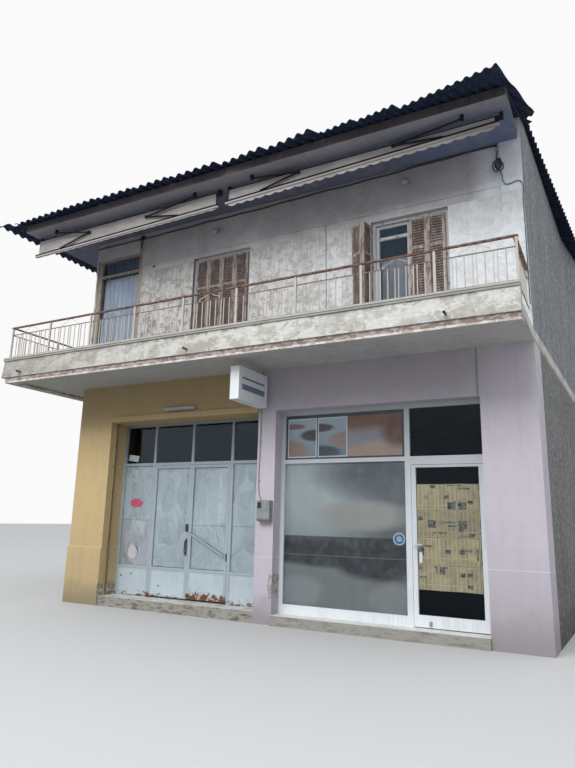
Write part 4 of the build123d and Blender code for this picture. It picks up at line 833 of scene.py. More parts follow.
blot = worn_disc(1.175, 1.801, 0.15, 0.52, (0.05, 3, 0.5), (0.035, 7, 0.0), (0.022, 12, 1.0))
tones = (0.52, 0.075, 0.16), (0.55, 0.42, 0.46)
foil = mottled_material("faded_pink_foil", tones, (0.35, 0.6), (22.0, 7, 0.7), (0.5, 0.72))
settle(blot, "pink_sticker", "house", foil)
settle(worn_disc(1.165, 0.915, 0.118, 1.05, (0.06, 3, 0.6)), "round_sticker", "house", grey_paper)
edge = disc(1.184, sticker_y + 0.0007, 0.922, 0.116, 0.001, 40)
settle(edge, "round_sticker_edge", "house", black_iron)


def plate_on_steel(x, half_width, low, high, thick, round_off):
    """A plate on the face of the steel, between two levels."""
    ends = (x - half_width, steel_face - thick, low), (x + half_width, steel_face - bare_gap, high)
    return cube_between(*ends, round_off)


rim_lock = plate_on_steel(lock_x, 0.028, 1.310, 1.440, 0.020, 0.005)
cylinder = disc(lock_x, steel_face - 0.024, 1.352, 0.012, 0.010, 20)
plate = plate_on_steel(lock_x, 0.019, 0.900, 1.190, 0.006, 0.003)
pull_line = ((0.004, 1.160), (0.045, 1.140), (0.048, 1.050), (0.045, 0.955), (0.004, 0.930))
pull = round_bar([(lock_x, steel_face - proud, z) for proud, z in pull_line], 0.009)
settle(join([rim_lock, cylinder, plate, pull]), "leaf_lock_and_pull", "left_leaf", black_iron)
strip_y = steel_face - 0.0046
bar_shadow_y = steel_face - 0.0016
strip = bar_between((2.455, strip_y, 1.285), (3.190, strip_y, 0.925), 0.030, 0.004, 0.0012)
# Painted shadow: a dark strip wider than the bar shows as shade along its edges.
bar_shadow_strip = bar_between((2.450, bar_shadow_y, 1.287), (3.195, bar_shadow_y, 0.923), 0.046, 0.002, 0.0006)
screws = [disc(x, steel_face - 0.008, z, 0.007, 0.005, 12) for x, z in ((2.475, 1.275), (3.170, 0.935))]
bar_shadow_paint = metal_material("bar_shadow_paint", (0.10, 0.105, 0.11), (0.06, 0.05, 0.045), 0.3)
settle(bar_shadow_strip, "slanted_bar_shadow", "right_leaf", bar_shadow_paint)
settle(join([strip, *screws]), "slanted_bar", "right_leaf", grey_paint)
slot_plate = plate_on_steel(3.236, 0.014, 0.850, 0.975, 0.004, 0.0015)
hole = cube_between((3.232, steel_face - 0.0052, 0.885), (3.240, steel_face - 0.0036, 0.940), 0.0007)
settle(join([slot_plate, hole]), "slot_plate", "right_leaf", black_iron)
hole_y = steel_face + 0.0064
holes = [disc(x, hole_y, z, 0.016, 0.003, 14) for x, z in ((0.942, 0.496), (1.178, 0.536))]
settle(join(holes), "panel_holes", "house", black_iron)
leaf_hole = disc(1.830, hole_y, 0.367, 0.015, 0.003, 14)
settle(leaf_hole, "leaf_hole", "left_leaf", black_iron)

# Aluminium shopfront on the right
# White powder-coated profiles, hardly weathered: a fixed light with its poster, a band of panels over
# it, and a glazed door.
white_coat, place = start_material("white_powder_coat")
film = span(noise(place, 3.0, 7, 0.6), 0.35, 0.75)
film = times(film, span(noise(stretched(place, (30, 30, 1.2)), 1.5, 6, 0.7), 0.4, 0.75), 0.6)
# Painted shade: the white coat darkens towards the top, under the lintel.
coat = blend(span(axes(place)["Z"], 0.7, 2.7), (0.80, 0.84, 0.88), (0.50, 0.53, 0.56))
peel = noise(place, 260.0, 3, 0.6)
cover(white_coat, blend(film, coat, (0.36, 0.36, 0.35)), span(film, 0, 1, 0.3, 0.5), (peel, 0.05, 0.001))
finish_nodes(white_coat, "aluminium_frame", "aluminium_door")
finish_nodes(glass_material("clear_pane", 1.22), "aluminium_glass", "aluminium_door_glass")

# Pictures and papers of the right shopfront
# A printed sheet fills the fixed light, three cards stand over it, the wide one trimmed clear of the
# middle one, and newspapers cover the middle of the door. All designs are plain forms, no lettering.
window_back = 0.2615
card_foot = 2.528
card_height = 0.630
card_trim = 0.001
card_border = (0.62, 0.64, 0.66)


def picture_material(name, ground, far_ground, corner, size, forms, bands=(), bordered=False):
    """A printed sheet: soft forms and bands over a shaded ground, placed as shares of its size."""
    made, place = start_material(name)
    x, y, z = axes(place)
    wobble = times(minus(noise(place, 2.6, 5, 0.55), 0.5), 0.16)
    u = combine("DIVIDE", minus(x, corner[0]), size[0])
    v = combine("DIVIDE", minus(z, corner[1]), size[1])
    tone = blend(span(plus(v, wobble), 0.0, 1.0), ground, far_ground)
    for centre, radii, colour, soft in forms:
        away = ellipse(plus(u, wobble), v, centre, radii)
        tone = blend(span(away, 1 - soft, 1 + soft, 1.0, 0.0), tone, colour)
    for low, high, colour, strength in bands:
        half = (high - low) / 2
        off = apart(v, (low + high) / 2)
        tone = blend(span(off, half - 0.002, half + 0.002, strength, 0.0), tone, colour)
    fade = noise(place, 9.0, 7, 0.65)
    tone = blend(times(span(fade, 0.45, 0.75), 0.25), tone, (0.32, 0.33, 0.33))
    if bordered:
        side = combine("LESS_THAN", combine("MINIMUM", u, minus(1.0, u)), 0.035)
        end = combine("LESS_THAN", combine("MINIMUM", v, minus(1.0, v)), 0.03)
        tone = blend(combine("MAXIMUM", side, end), tone, card_border)
    return cover(made, tone, 0.55, (fade, 0.08, 0.003))


forms = (
    ((0.18, 0.80), (0.40, 0.34), (0.42, 0.44, 0.43), 0.8),
    ((0.80, 0.92), (0.45, 0.16), (0.10, 0.105, 0.11), 0.9),
    ((0.92, 0.55), (0.22, 0.40), (0.13, 0.13, 0.13), 0.9),
    ((0.66, 0.63), (0.34, 0.10), (0.36, 0.335, 0.30), 0.45),
    ((0.30, 0.36), (0.46, 0.09), (0.030, 0.030, 0.034), 0.35),
    ((0.76, 0.33), (0.34, 0.13), (0.028, 0.026, 0.030), 0.35),
    ((0.14, 0.10), (0.20, 0.10), (0.30, 0.30, 0.30), 0.5),
    ((0.52, 0.07), (0.20, 0.09), (0.22, 0.215, 0.21), 0.5),
    ((0.88, 0.09), (0.17, 0.10), (0.27, 0.265, 0.26), 0.5),
)
bands = ((0.339, 0.481, (0.030, 0.028, 0.030), 0.86), (0.345, 0.352, (0.30, 0.30, 0.30), 0.35))
grounds = (0.20, 0.195, 0.19), (0.27, 0.285, 0.28)
poster = picture_material("window_print", *grounds, (4.40, 0.286), (2.01, 2.148), forms, bands)
print_sheet = paper((4.412, 0.280), (6.418, 2.440), window_back + 0.004, 0.003, 11)
settle(print_sheet, "window_print", "house", poster)

first_forms = (
    ((0.08, 0.12), (0.62, 0.34), (0.30, 0.19, 0.14), 0.35),
    ((0.98, 0.56), (0.52, 0.15), (0.06, 0.045, 0.04), 0.35),
    ((0.20, 0.80), (0.40, 0.07), (0.24, 0.10, 0.09), 0.4),
)
second_forms = (
    ((0.98, 0.42), (0.56, 0.20), (0.34, 0.22, 0.17), 0.35),
    ((0.10, 0.12), (0.66, 0.17), (0.05, 0.06, 0.08), 0.35),
    ((0.02, 0.74), (0.52, 0.11), (0.07, 0.05, 0.045), 0.35),
)
wide_forms = (
    ((0.30, 0.98), (0.62, 0.34), (0.20, 0.085, 0.04), 0.5),
    ((0.52, 0.08), (0.66, 0.30), (0.40, 0.26, 0.20), 0.4),
    ((1.00, 0.62), (0.36, 0.42), (0.16, 0.06, 0.03), 0.5),
    ((0.06, 0.40), (0.30, 0.16), (0.26, 0.245, 0.27), 0.6),
)
cards = (
    ("left_card", 4.446, 4.961, 12, (0.22, 0.24, 0.27), (0.42, 0.46, 0.50), first_forms, True),
    ("middle_card", 4.980, 5.486, 13, (0.16, 0.19, 0.22), (0.40, 0.45, 0.50), second_forms, True),
    ("wide_card", 5.486, 6.363, 14, (0.20, 0.17, 0.18), (0.30, 0.28, 0.30), wide_forms, False),
)
for name, left, right, seed, ground, far_ground, forms, bordered in cards:
    size = (right - left, card_height)
    finish = picture_material(name, ground, far_ground, (left, card_foot), size, forms, (), bordered)
    foot = (left if bordered else left + card_trim, card_foot)
    card = paper(foot, (right, card_foot + card_height), window_back + 0.002, 0.002, seed)
    settle(card, name, "house", finish)
backing = paper((4.412, 2.494), (6.412, 3.215), window_back + 0.008, 0.002, 15)
dark_card = metal_material("dark_backing", (0.05, 0.053, 0.058), (0.03, 0.03, 0.03), 0.0)
settle(backing, "card_backing", "house", dark_card)

newsprint, place = start_material("newsprint")
tree = newsprint.node_tree
x, y, z = axes(place)
flat = add_node(tree, "CombineXYZ", {0: x, 1: z}).outputs[0]
grid = add_node(tree, "Mapping", {"Vector": flat, "Location": (-6.561, -0.6065, 0.0)}).outputs[0]
page = (0.284, 0.3735)


def blocks(vector, width, tall, gap, shift=0.0):
    """Blocks of print: one random value for each block, and a mask of the blocks."""
    links = {"Vector": vector, "Color1": (0, 0, 0), "Color2": (1, 1, 1), "Mortar": (0.5, 0.5, 0.5)}
    links.update({"Scale": 1.0, "Mortar Size": gap, "Mortar Smooth": 0.1})
    links.update({"Brick Width": width, "Row Height": tall})
    made = add_node(tree_of(vector), "TexBrick", links, offset=shift).outputs
    value = add_node(tree_of(vector), "SeparateColor", {0: made["Color"]}).outputs[0]
    return value, minus(1.0, made["Fac"])


tan = blend(span(noise(place, 2.4, 6, 0.6), 0.3, 0.7), (0.66, 0.52, 0.31), (0.50, 0.41, 0.25))
in_column = blocks(flat, 0.0568, 0.36, 0.0065)[1]
page_value, whole_page = blocks(grid, *page, 0.0035)
in_margin = blocks(grid, *page, 0.016)[1]
links = {"Vector": flat, "Scale": 78.0, "Distortion": 0.5, "Detail Scale": 9.0}
lines = add_node(tree, "TexWave", links, bands_direction="Y").outputs["Fac"]
patchy = span(noise(flat, 8.0, 3, 0.5), 0.35, 0.65, 0.25, 1.0)
ink = times(span(lines, 0.25, 0.6), times(in_column, 0.80), in_margin, patchy)
tone = layers(tan, (times(page_value, 0.55), (0.34, 0.275, 0.165)), (ink, (0.05, 0.045, 0.04)))
halftone = blend(span(noise(flat, 24.0, 6, 0.7), 0.42, 0.58), (0.012, 0.018, 0.024), (0.22, 0.22, 0.19))
pictures = (
    (0.142, 0.1245, 0.3, 0.83, 0.97),
    (0.0947, 0.0747, 0.5, 0.90, 0.95),
    (0.213, 0.0467, 0.4, 0.88, 0.8),
)
for width, tall, shift, share, strength in pictures:
    kind, block = blocks(grid, width, tall, 0.010, shift)
    picture = times(span(kind, share, share + 0.01), times(block, in_margin), strength)
    tone = blend(picture, tone, halftone)
tone = blend(times(minus(1.0, whole_page), 0.85), tone, (0.06, 0.05, 0.035))
cover(newsprint, tone, 0.9, (noise(place, 9.0, 6, 0.6), 0.4, 0.006))

sheets = []
news_y = 0.2605
news_step = 0.0022
news_overlap = 0.008
news_rows = ((1.740, 2.085), (1.385, 1.745), (1.030, 1.390), (0.655, 1.035))
news_columns = ((6.566, 6.850), (6.842, 7.150), (7.142, 7.440))
for row, (low, high) in enumerate(news_rows):
    for column, (left, right) in enumerate(news_columns):
        lean = 1.6 * math.sin(2.1 * row + 3.7 * column)
        y = news_y + news_step * ((row + column) % 2)
        ends = (left, low - news_overlap), (right, high + news_overlap)
        sheets.append(paper(*ends, y, 0.003, 20 + row * 3 + column, lean))
settle(join(sheets), "door_newspapers", "shop_door", newsprint)

sticker_at = (6.294, 1.318)
sticker = disc(sticker_at[0], 0.2503, sticker_at[1], 0.088, 0.001, 48)
sticker_print, place = start_material("sticker_print")
x, y, z = axes(place)
away = combine("SQRT", ellipse(x, z, sticker_at))
worn = span(noise(place, 30.0, 6, 0.7), 0.55, 0.75)
tone = blend(span(away, 0.070, 0.073), (0.03, 0.13, 0.30), (0.42, 0.50, 0.55))
tone = blend(span(away, 0.038, 0.041), (0.30, 0.36, 0.42), tone)
tone = blend(times(worn, 0.5), tone, (0.35, 0.37, 0.38))
cover(sticker_print, tone, span(worn, 0, 1, 0.25, 0.5))
settle(sticker, "glass_sticker", "house", sticker_print)

tag = cube_between((6.598, 0.2040, 1.010), (6.640, 0.2052, 1.150), 0.0005)
tag_string = round_bar([(6.600, 0.184, 1.252), (6.612, 0.196, 1.200), (6.619, 0.2046, 1.145)], 0.0016)
settle(join([tag, tag_string]), "door_tag", "shop_door", white_coat)
body = cube_between((6.714, 0.198, 0.176), (6.748, 0.218, 0.212), 0.004)
bow = [(6.721, 0.208, 0.208), (6.722, 0.209, 0.232), (6.731, 0.211, 0.243)]
shackle = round_bar(bow + [(6.740, 0.209, 0.232), (6.741, 0.208, 0.208)], 0.003)
staple = cube_between((6.710, 0.206, 0.228), (6.752, 0.2286, 0.236), 0.002)
padlock_metal = metal_material("worn_padlock", (0.34, 0.31, 0.25), (0.12, 0.10, 0.08), 0.2)
settle(join([body, shackle, staple]), "padlock", "shop_door", padlock_metal)

# Roller guides
# Folded steel channels of a shutter that is gone, standing on both reveals of the left opening.
channel = metal_material("rusted_channel", (0.40, 0.31, 0.18), (0.12, 0.09, 0.07), 0.45)
finish_nodes(channel, "roller_guides")

# Doors and windows of the flat
# Painted joinery, beige on the glazed door and white on the French doors, dull and cracked.


def joinery_material(name, coat, wood):
    """Painted joinery with its grain and the spots where the paint is off."""
    made, place = start_material(name)
    grain = span(noise(stretched(place, (9, 9, 0.8)), 6.0, 7, 0.6), 0.3, 0.7)
    worn = flakes(place, 14.0, 0.36, (1, 1, 0.4))
    tone = blend(worn["Mask"], blend(grain, coat, tinted(coat, 0.78)), wood)
    return cover(made, tone, span(grain, 0, 1, 0.5, 0.7), (minus(grain, worn["Edge"]), 0.25, 0.002))


beige = joinery_material("beige_joinery", (0.34, 0.285, 0.235), (0.17, 0.13, 0.10))
finish_nodes(beige, "glazed_door_frame")
off_white = joinery_material("white_joinery", (0.50, 0.52, 0.55), (0.22, 0.19, 0.16))
finish_nodes(off_white, "french_door_frames")

# Louvred shutters
# Pine leaves, four to a door, with loose slats in three fields. The paint is almost gone: pinkish
# brown on the stiles and dark in the slats. Two leaves of the right-hand door stand folded out.
leaf_width = 0.280
leaf_depth = 0.036
stile_width = 0.046
slat_step = 0.043
slat_lean = math.radians(-24)


def wood_material(name, coat, wood, amount):
    """Weathered wood with what is left of its paint."""
    made, place = start_material(name)
    lines = span(noise(stretched(place, (22, 22, 1.6)), 5.0, 8, 0.66, 0.3), 0.3, 0.72)
    left = flakes(place, 13.0, amount, (1, 1, 0.35))
    bare = blend(lines, wood, tinted(wood, 0.45))
    kept = blend(times(lines, 0.6), coat, tinted(coat, 0.6))
    shadow = span(axes(place)["X"], 4.2, 5.6, 0.32, 0.0)
    tone = blend(shadow, blend(left["Mask"], bare, kept), (0.03, 0.026, 0.025))
    return cover(made, tone, 0.82, (plus(lines, left["Edge"]), 0.5, 0.002))


stile_wood = wood_material("shutter_stile_wood", (0.44, 0.365, 0.33), (0.29, 0.225, 0.195), 0.62)
slat_wood = wood_material("shutter_slat_wood", (0.29, 0.24, 0.225), (0.21, 0.165, 0.15), 0.5)


def louvre_leaf(width, tall, rails):
    """One leaf standing on the origin, its face to the street: stiles, rails and slanted slats."""
    half = leaf_depth / 2
    inner = width / 2 - stile_width
    edges = (0, *rails, tall)
    parts = [
        cube_between((-width / 2, -half, 0), (-inner, half, tall), 0.003),
        cube_between((inner, -half, 0), (width / 2, half, tall), 0.003),
    ]
    for level in edges:
        low = min(max(level - stile_width / 2, 0), tall - stile_width)
        ends = (-inner - 0.001, -half + 0.004, low), (inner + 0.001, half - 0.004, low + stile_width)
        parts.append(cube_between(*ends, 0.002))
    stiles = join(parts)
    stiles.data.materials.append(stile_wood)
    slats = []
    for low, high in zip(edges, edges[1:]):
        low += stile_width if low == 0 else stile_width / 2
        high -= stile_width if high == tall else stile_width / 2
        count = round((high - low) / slat_step)
        step = (high - low) / count
        slat = cube_between((-inner, -0.003, -0.0268), (inner, 0.003, 0.0268), 0.0022)
        slat.rotation_euler = (slat_lean, 0, 0)
        bpy.ops.object.transform_apply()
        row = slat.modifiers.new("row", "ARRAY")
        row.count = count
        row.use_relative_offset = False
        row.use_constant_offset = True
        row.constant_offset_displace = (0, 0, step)
        slat.location = (0, 0, low + step / 2)
        bpy.ops.object.modifier_apply(modifier=row.name)
        slat.data.materials.append(slat_wood)
        slats.append(slat)
    return join([stiles, *slats])


def copy_to(piece, places):
    """The piece and its copies, each with a mesh of its own, at the given places."""
    made = [piece]
    for place in places[1:]:
        twin = piece.copy()
        twin.data = piece.data.copy()
        bpy.context.collection.objects.link(twin)
        made.append(twin)
    for one, place in zip(made, places):
        one.matrix_world = place if isinstance(place, Matrix) else Matrix.Translation(place)
    return made


leaf_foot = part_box("louvre_shutters")[0].z
leaf_y = 0.070 + leaf_depth / 2
door_rails = (0.6, 1.5)
quarter = Matrix.Rotation(math.radians(90), 4, "Z")
first_door = louvre_leaf(leaf_width, 2.0507, door_rails)
first_places = [(2.535 + (k + 0.5) * 0.2815, leaf_y, leaf_foot) for k in range(4)]
second_door = louvre_leaf(leaf_width - 0.001, 2.0107, door_rails)
second_places = [Matrix.Translation((6.035 + (k + 0.5) * 0.280, leaf_y, leaf_foot)) for k in (2, 3)]
for (x0, y0), (x1, y1) in (((5.975, 0.100), (5.924, -0.175)), ((5.915, -0.180), (5.690, -0.014))):
    swing = Matrix.Rotation(math.atan2(y1 - y0, x1 - x0), 4, "Z")
    second_places.append(Matrix.Translation(((x0 + x1) / 2, (y0 + y1) / 2, leaf_foot)) @ swing)
shutters = join(copy_to(first_door, first_places) + copy_to(second_door, second_places))
side_door = louvre_leaf(0.3087, 2.1057, door_rails)
side_places = [(0.078, 3.0 + (k + 0.5) * 0.309, leaf_foot) for k in range(4)]
side_places = [Matrix.Translation(place) @ quarter for place in side_places]
rear_leaf = louvre_leaf(0.5497, 1.192, door_rails[:1])
rear_places = [(start_x + (k + 0.5) * 0.55, 8.322, 5.104) for start_x in (2.2, 6.3) for k in range(2)]
shutters = join([shutters, *copy_to(side_door, side_places), *copy_to(rear_leaf, rear_places)])
settle(shutters, "louvred_leaves", "house")
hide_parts("louvre_shutters")

# Balcony railing
# Welded from square bar: posts, twisted and plain uprights in turn between two thin rails, and one
# flat bow with curled ends in each bay of the front, under the handrail. White paint, rusting.
rail_low, rail_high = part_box("front_railing")
side_low, side_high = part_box("side_railings")
rail_y = (rail_low.y + rail_high.y) / 2
rail_start = rail_low.x + 0.016
rail_end = rail_high.x - 0.016
side_start = side_low.y
side_end = side_high.y - 0.016
bays = 9
bay = (rail_end - rail_start) / bays
side_bay = (side_end - side_start) / bays
bar_low = 4.440
bar_high = 4.875
bar_half = 0.006
rail_half = 0.007
pair = 0.025


def twisted_bar(low, high):
    """Square upright twisted along its length."""
    made = cube_between((-bar_half, -bar_half, 0), (bar_half, bar_half, high - low))
    bpy.ops.object.mode_set(mode="EDIT")
    bpy.ops.mesh.select_mode(type="EDGE")
    bpy.ops.mesh.select_all(action="DESELECT")
    bpy.ops.object.mode_set(mode="OBJECT")
    for edge in made.data.edges:
        a, b = (made.data.vertices[i].co for i in edge.vertices)
        edge.select = abs(a.z - b.z) > 0.1
    bpy.ops.object.mode_set(mode="EDIT")
    bpy.ops.mesh.subdivide(number_cuts=44)
    bpy.ops.object.mode_set(mode="OBJECT")
    wrung = made.modifiers.new("twist", "SIMPLE_DEFORM")
    wrung.deform_method = "TWIST"
    wrung.deform_axis = "Z"
    wrung.angle = math.radians(360 * 3.5)
    bpy.ops.object.transform_apply()
    bpy.ops.object.modifier_apply(modifier=wrung.name)
    made.location = (0, 0, low)
    bpy.ops.object.transform_apply()
    return made


def uprights(length):
    """Places of the twisted and the plain uprights along a side's bays."""
    twisted = []
    plain = []
    for k in range(bays):
        for step in range(1, 8):
            middle = (k + step / 8) * length / bays
            if step % 2:
                twisted.append(middle)
            else:
                plain += [middle - pair, middle + pair]
    return twisted, plain


def along_rails(front, side):
    """Places at the given distances along the front and along the left side."""
    return [(rail_start + d, rail_y, 0) for d in front] + [(rail_start, side_start + d, 0) for d in side]


post = cube_between((-0.016, -0.016, rail_low.z), (0.016, 0.016, rail_high.z), 0.003)
wrung = twisted_bar(bar_low, bar_high)
plain = cube_between((-bar_half, -bar_half, bar_low), (bar_half, bar_half, bar_high), 0.0015)
front_twisted, front_plain = uprights(rail_end - rail_start)
side_twisted, side_plain = uprights(side_end - side_start)
posts_at = along_rails([k * bay for k in range(bays + 1)], [k * side_bay for k in range(1, bays + 1)])
plain_at = along_rails(front_plain, side_plain)
plain_at += [(rail_end - 0.016, side_start + k * 0.132, 0) for k in range(1, 8)]
rail_lines = (
    ((rail_start, rail_y - rail_half), (rail_end, rail_y + rail_half)),
    ((rail_start - rail_half, rail_y), (rail_start + rail_half, side_end)),
    ((rail_end - 0.016 - rail_half, rail_y), (rail_end - 0.016 + rail_half, -0.002)),
)
thin_rails = []
for level in (bar_low, bar_high):
    for low, high in rail_lines:
        thin_rails.append(cube_between((*low, level - rail_half), (*high, level + rail_half), 0.0015))

bow_line = ((-0.170, 4.900), (-0.186, 4.888), (-0.198, 4.903), (-0.182, 4.920), (-0.100, 4.950))
bow_line += ((0.0, 4.997), (0.100, 4.950), (0.182, 4.920), (0.198, 4.903))
bow = curve_through([(x, 0, z) for x, z in bow_line])
bow.data.extrude = 0.003
bow.data.bevel_depth = 0.0018
bow.data.resolution_u = 6
bpy.ops.object.convert(target="MESH")
bows_at = along_rails([(k + 0.5) * bay for k in range(bays)], [])

white_rail = metal_material("railing_white", (0.57, 0.52, 0.46), (0.26, 0.21, 0.17), 0.42)
bars = copy_to(post, posts_at) + copy_to(wrung, along_rails(front_twisted, side_twisted))
bars += copy_to(plain, plain_at) + copy_to(bow, bows_at)
railing = settle(join(bars), "railing_bars", "house", white_rail)
brown_rail = metal_material("railing_brown", (0.22, 0.155, 0.125), (0.12, 0.08, 0.06), 0.55)
rails = settle(join(thin_rails), "railing_rails", "house", brown_rail)
for piece in (railing, rails):
    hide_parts("front_railing", "side_railings")
rusty = metal_material("rusty_handrail", (0.21, 0.145, 0.12), (0.12, 0.07, 0.05), 0.68)
finish_nodes(rusty, "handrail")

# Curtains of the flat
# Thin greyish curtains hang inside the glazed door and its top light, and inside the open French door,
# gathered on a rail.
takes = {"Vector": None, "Scale": 260.0, "Distortion": 0.5}
threads, given, result = group("cloth_threads", takes, ("Height",))
links = {"Vector": given["Vector"], "Scale": given["Scale"], "Distortion": given["Distortion"]}
fill(result["Height"], add_node(threads, "TexWave", links).outputs["Fac"])


def curtain_material(name, lit, shaded):
    """Thin woven cloth, darker where the folds fall and worn pale in streaks near its foot."""
    made, place = start_material(name)
    weave = use_group(threads, place, Scale=260.0, Distortion=0.5)["Height"]
    fall = span(noise(stretched(place, (10, 10, 0.5)), 2.0, 6, 0.6), 0.3, 0.7)
    worn = span(noise(stretched(place, (30, 30, 0.7)), 1.6, 5, 0.6), 0.50, 0.62)
    worn = times(worn, span(axes(place)["Z"], 4.9, 5.5, 0.42, 0.0))
    tone = blend(worn, blend(fall, lit, shaded), tinted(lit, 1.7, 0.8))
    return cover(made, tone, 0.95, (weave, 0.15, 0.001))


def cloth_sheet(columns, rows, shape):
    """A sheet of cloth whose points lie where shape puts their shares across and up; and its area."""
    made = start(bpy.ops.mesh.primitive_grid_add, x_subdivisions=columns, y_subdivisions=rows, size=1)
    for vertex in made.data.vertices:
        vertex.co = shape(vertex.co.x + 0.5, vertex.co.y + 0.5)
    bpy.ops.object.shade_smooth()
    return made, sum(face.area for face in made.data.polygons)


def curtain(left, right, low, high, y, depth, folds):
    """A curtain gathered in folds between two edges; returns it with its cloth's width and area."""

    def fold(across, up):
        swing = math.sin(2 * math.pi * folds * across + 0.5 * math.sin(5 * across + 2 * up))
        spread = 0.55 + 0.45 * (1 - up) + 0.12 * math.sin(11 * across)
        return left + (right - left) * across, y + depth * swing * spread, low + (high - low) * up

    made, area = cloth_sheet(folds * 12, 24, fold)
    return made, area / (high - low), area


cloth, cut, area = curtain(0.150, 1.116, 4.440, 6.290, 0.165, 0.016, 9)
door_cloth = curtain_material("door_curtain", (0.37, 0.41, 0.475), (0.26, 0.29, 0.345))
settle(cloth, "glazed_door_curtain", "house", door_cloth)
cloth, cut, area = curtain(0.150, 1.116, 6.306, 6.646, 0.168, 0.010, 9)
top_cloth = curtain_material("top_curtain", (0.085, 0.105, 0.155), (0.05, 0.065, 0.10))
settle(cloth, "glazed_door_top_curtain", "house", top_cloth)
cloth, cut, area = curtain(6.040, 6.900, 4.180, 5.640, 0.245, 0.018, 8)
window_cloth = curtain_material("window_curtain", (0.215, 0.225, 0.25), (0.145, 0.155, 0.18))
settle(cloth, "french_door_curtain", "house", window_cloth)

# Awnings
# Two folding-arm awnings, closed: roller tubes and arms of painted steel under the eaves, and the
# front bars with the cloth drawn up between tube and bar, so that it hangs in shallow folds.
cloth_top = 6.985
tube_front = -0.7263
valance_y = -0.7375
awnings = (
    ("left_awning_cloth", (-0.930, 6.670), (3.530, 6.740), 3, 0.018, 0.008),
    ("right_awning_cloth", (3.680, 6.757), (8.120, 6.882), 7, 0.034, 0.026),
)
awning_steel, place = start_material("awning_steel")
x, y, z = axes(place)
bar_levels = [span(x, x0, x1, z0, z1) for name, (x0, z0), (x1, z1), *_ in awnings]
links = {0: span(x, 3.60, 3.61), 2: bar_levels[0], 3: bar_levels[1]}
bar_level = add_node(awning_steel.node_tree, "Mix", links).outputs[0]
on_bar = times(span(apart(z, bar_level), 0.030, 0.032, 1.0, 0.0), span(y, -0.70, -0.69, 1.0, 0.0))
on_bar = times(on_bar, span(minus(z, bar_level), -0.002, 0.003, 1.0, 0.0))
pale = use_group(painted_metal, place, Paint=(0.46, 0.43, 0.41), Dirt=(0.20, 0.17, 0.16), Rust=0.2)
dark = use_group(painted_metal, place, Paint=(0.014, 0.014, 0.018), Dirt=(0.01, 0.01, 0.01), Rust=0.05)
shade = blend(on_bar, dark["Color"], pale["Color"])
gloss = span(pale["Roughness"], 0.42, 0.88, 0.62, 0.9)
cover(awning_steel, shade, gloss, (pale["Height"], 0.4, 0.002), Specular_IOR_Level=0.15)
finish_nodes(awning_steel, "awning_arms")

awning_cloth, place = start_material("faded_awning_cloth")
weave = use_group(threads, place, Scale=140.0, Distortion=1.0)["Height"]
faded = span(noise(stretched(place, (1.2, 4, 4)), 2.0, 7, 0.65, 0.5), 0.32, 0.7)
tone = blend(faded, (0.575, 0.525, 0.515), (0.37, 0.335, 0.33))
tone = blend(times(weave, 0.12), tone, (0.3, 0.29, 0.3))
cover(awning_cloth, tone, 0.92, (weave, 0.2, 0.001), Sheen_Weight=0.2)

for name, (x0, z0), (x1, z1), seed, drop, scoop in awnings:
    left = x0 + 0.06
    right = x1 - 0.06
    slope = (z1 - z0) / (x1 - x0)

    def hang(across, up):
        """The cloth between the tube and the bar."""
        x = left + (right - left) * across
        low = z0 + (x - x0) * slope + 0.031
        fold = math.sin(up * math.pi) * 0.006 * math.sin(23 * across + seed + 4 * math.sin(9 * across))
        return x, tube_front - 0.0008 - abs(fold), low + (cloth_top - low) * up

    def scallop(across, up):
        """The valance below the bar, cut in scallops."""
        x = left + (right - left) * across
        deep_soffit_shade = drop + scoop * abs(math.sin(across * math.pi * 24))
        wave = 0.003 * math.sin(across * 61 + seed) * (1 - up)
        return x, valance_y + wave, z0 + (x - x0) * slope - 0.0305 - deep_soffit_shade * (1 - up)

    cloth, area = cloth_sheet(150, 16, hang)
    cloth = settle(cloth, name, "house", awning_cloth)
    valance, area = cloth_sheet(264, 6, scallop)
    valance = settle(valance, name.replace("cloth", "valance"), "house", awning_cloth)
    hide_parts("awning_fabric")
    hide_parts("awning_fabric")

# Hanging sign
# A shallow light box of white plastic in an aluminium rim, on two brackets from the pillar. Its face is
# plain but for two blue bands.
sign_plastic, place = start_material("sign_plastic")
x, y, z = axes(place)
dull = span(noise(stretched(place, (3, 3, 1)), 3.0, 7, 0.65), 0.3, 0.75)
wide_band = span(apart(z, 3.52), 0.042, 0.047, 1, 0)
thin_band = span(apart(z, 3.66), 0.014, 0.018, 1, 0)
bands = times(combine("MAXIMUM", wide_band, thin_band), span(apart(y, -0.50), 0.33, 0.34, 1, 0))
face = blend(dull, (0.90, 0.92, 0.94), (0.76, 0.78, 0.81))
face = blend(times(bands, 0.85), face, (0.05, 0.10, 0.24))
cover(sign_plastic, face, span(dull, 0, 1, 0.3, 0.5), (dull, 0.05, 0.002))
finish_nodes(sign_plastic, "hanging_sign")

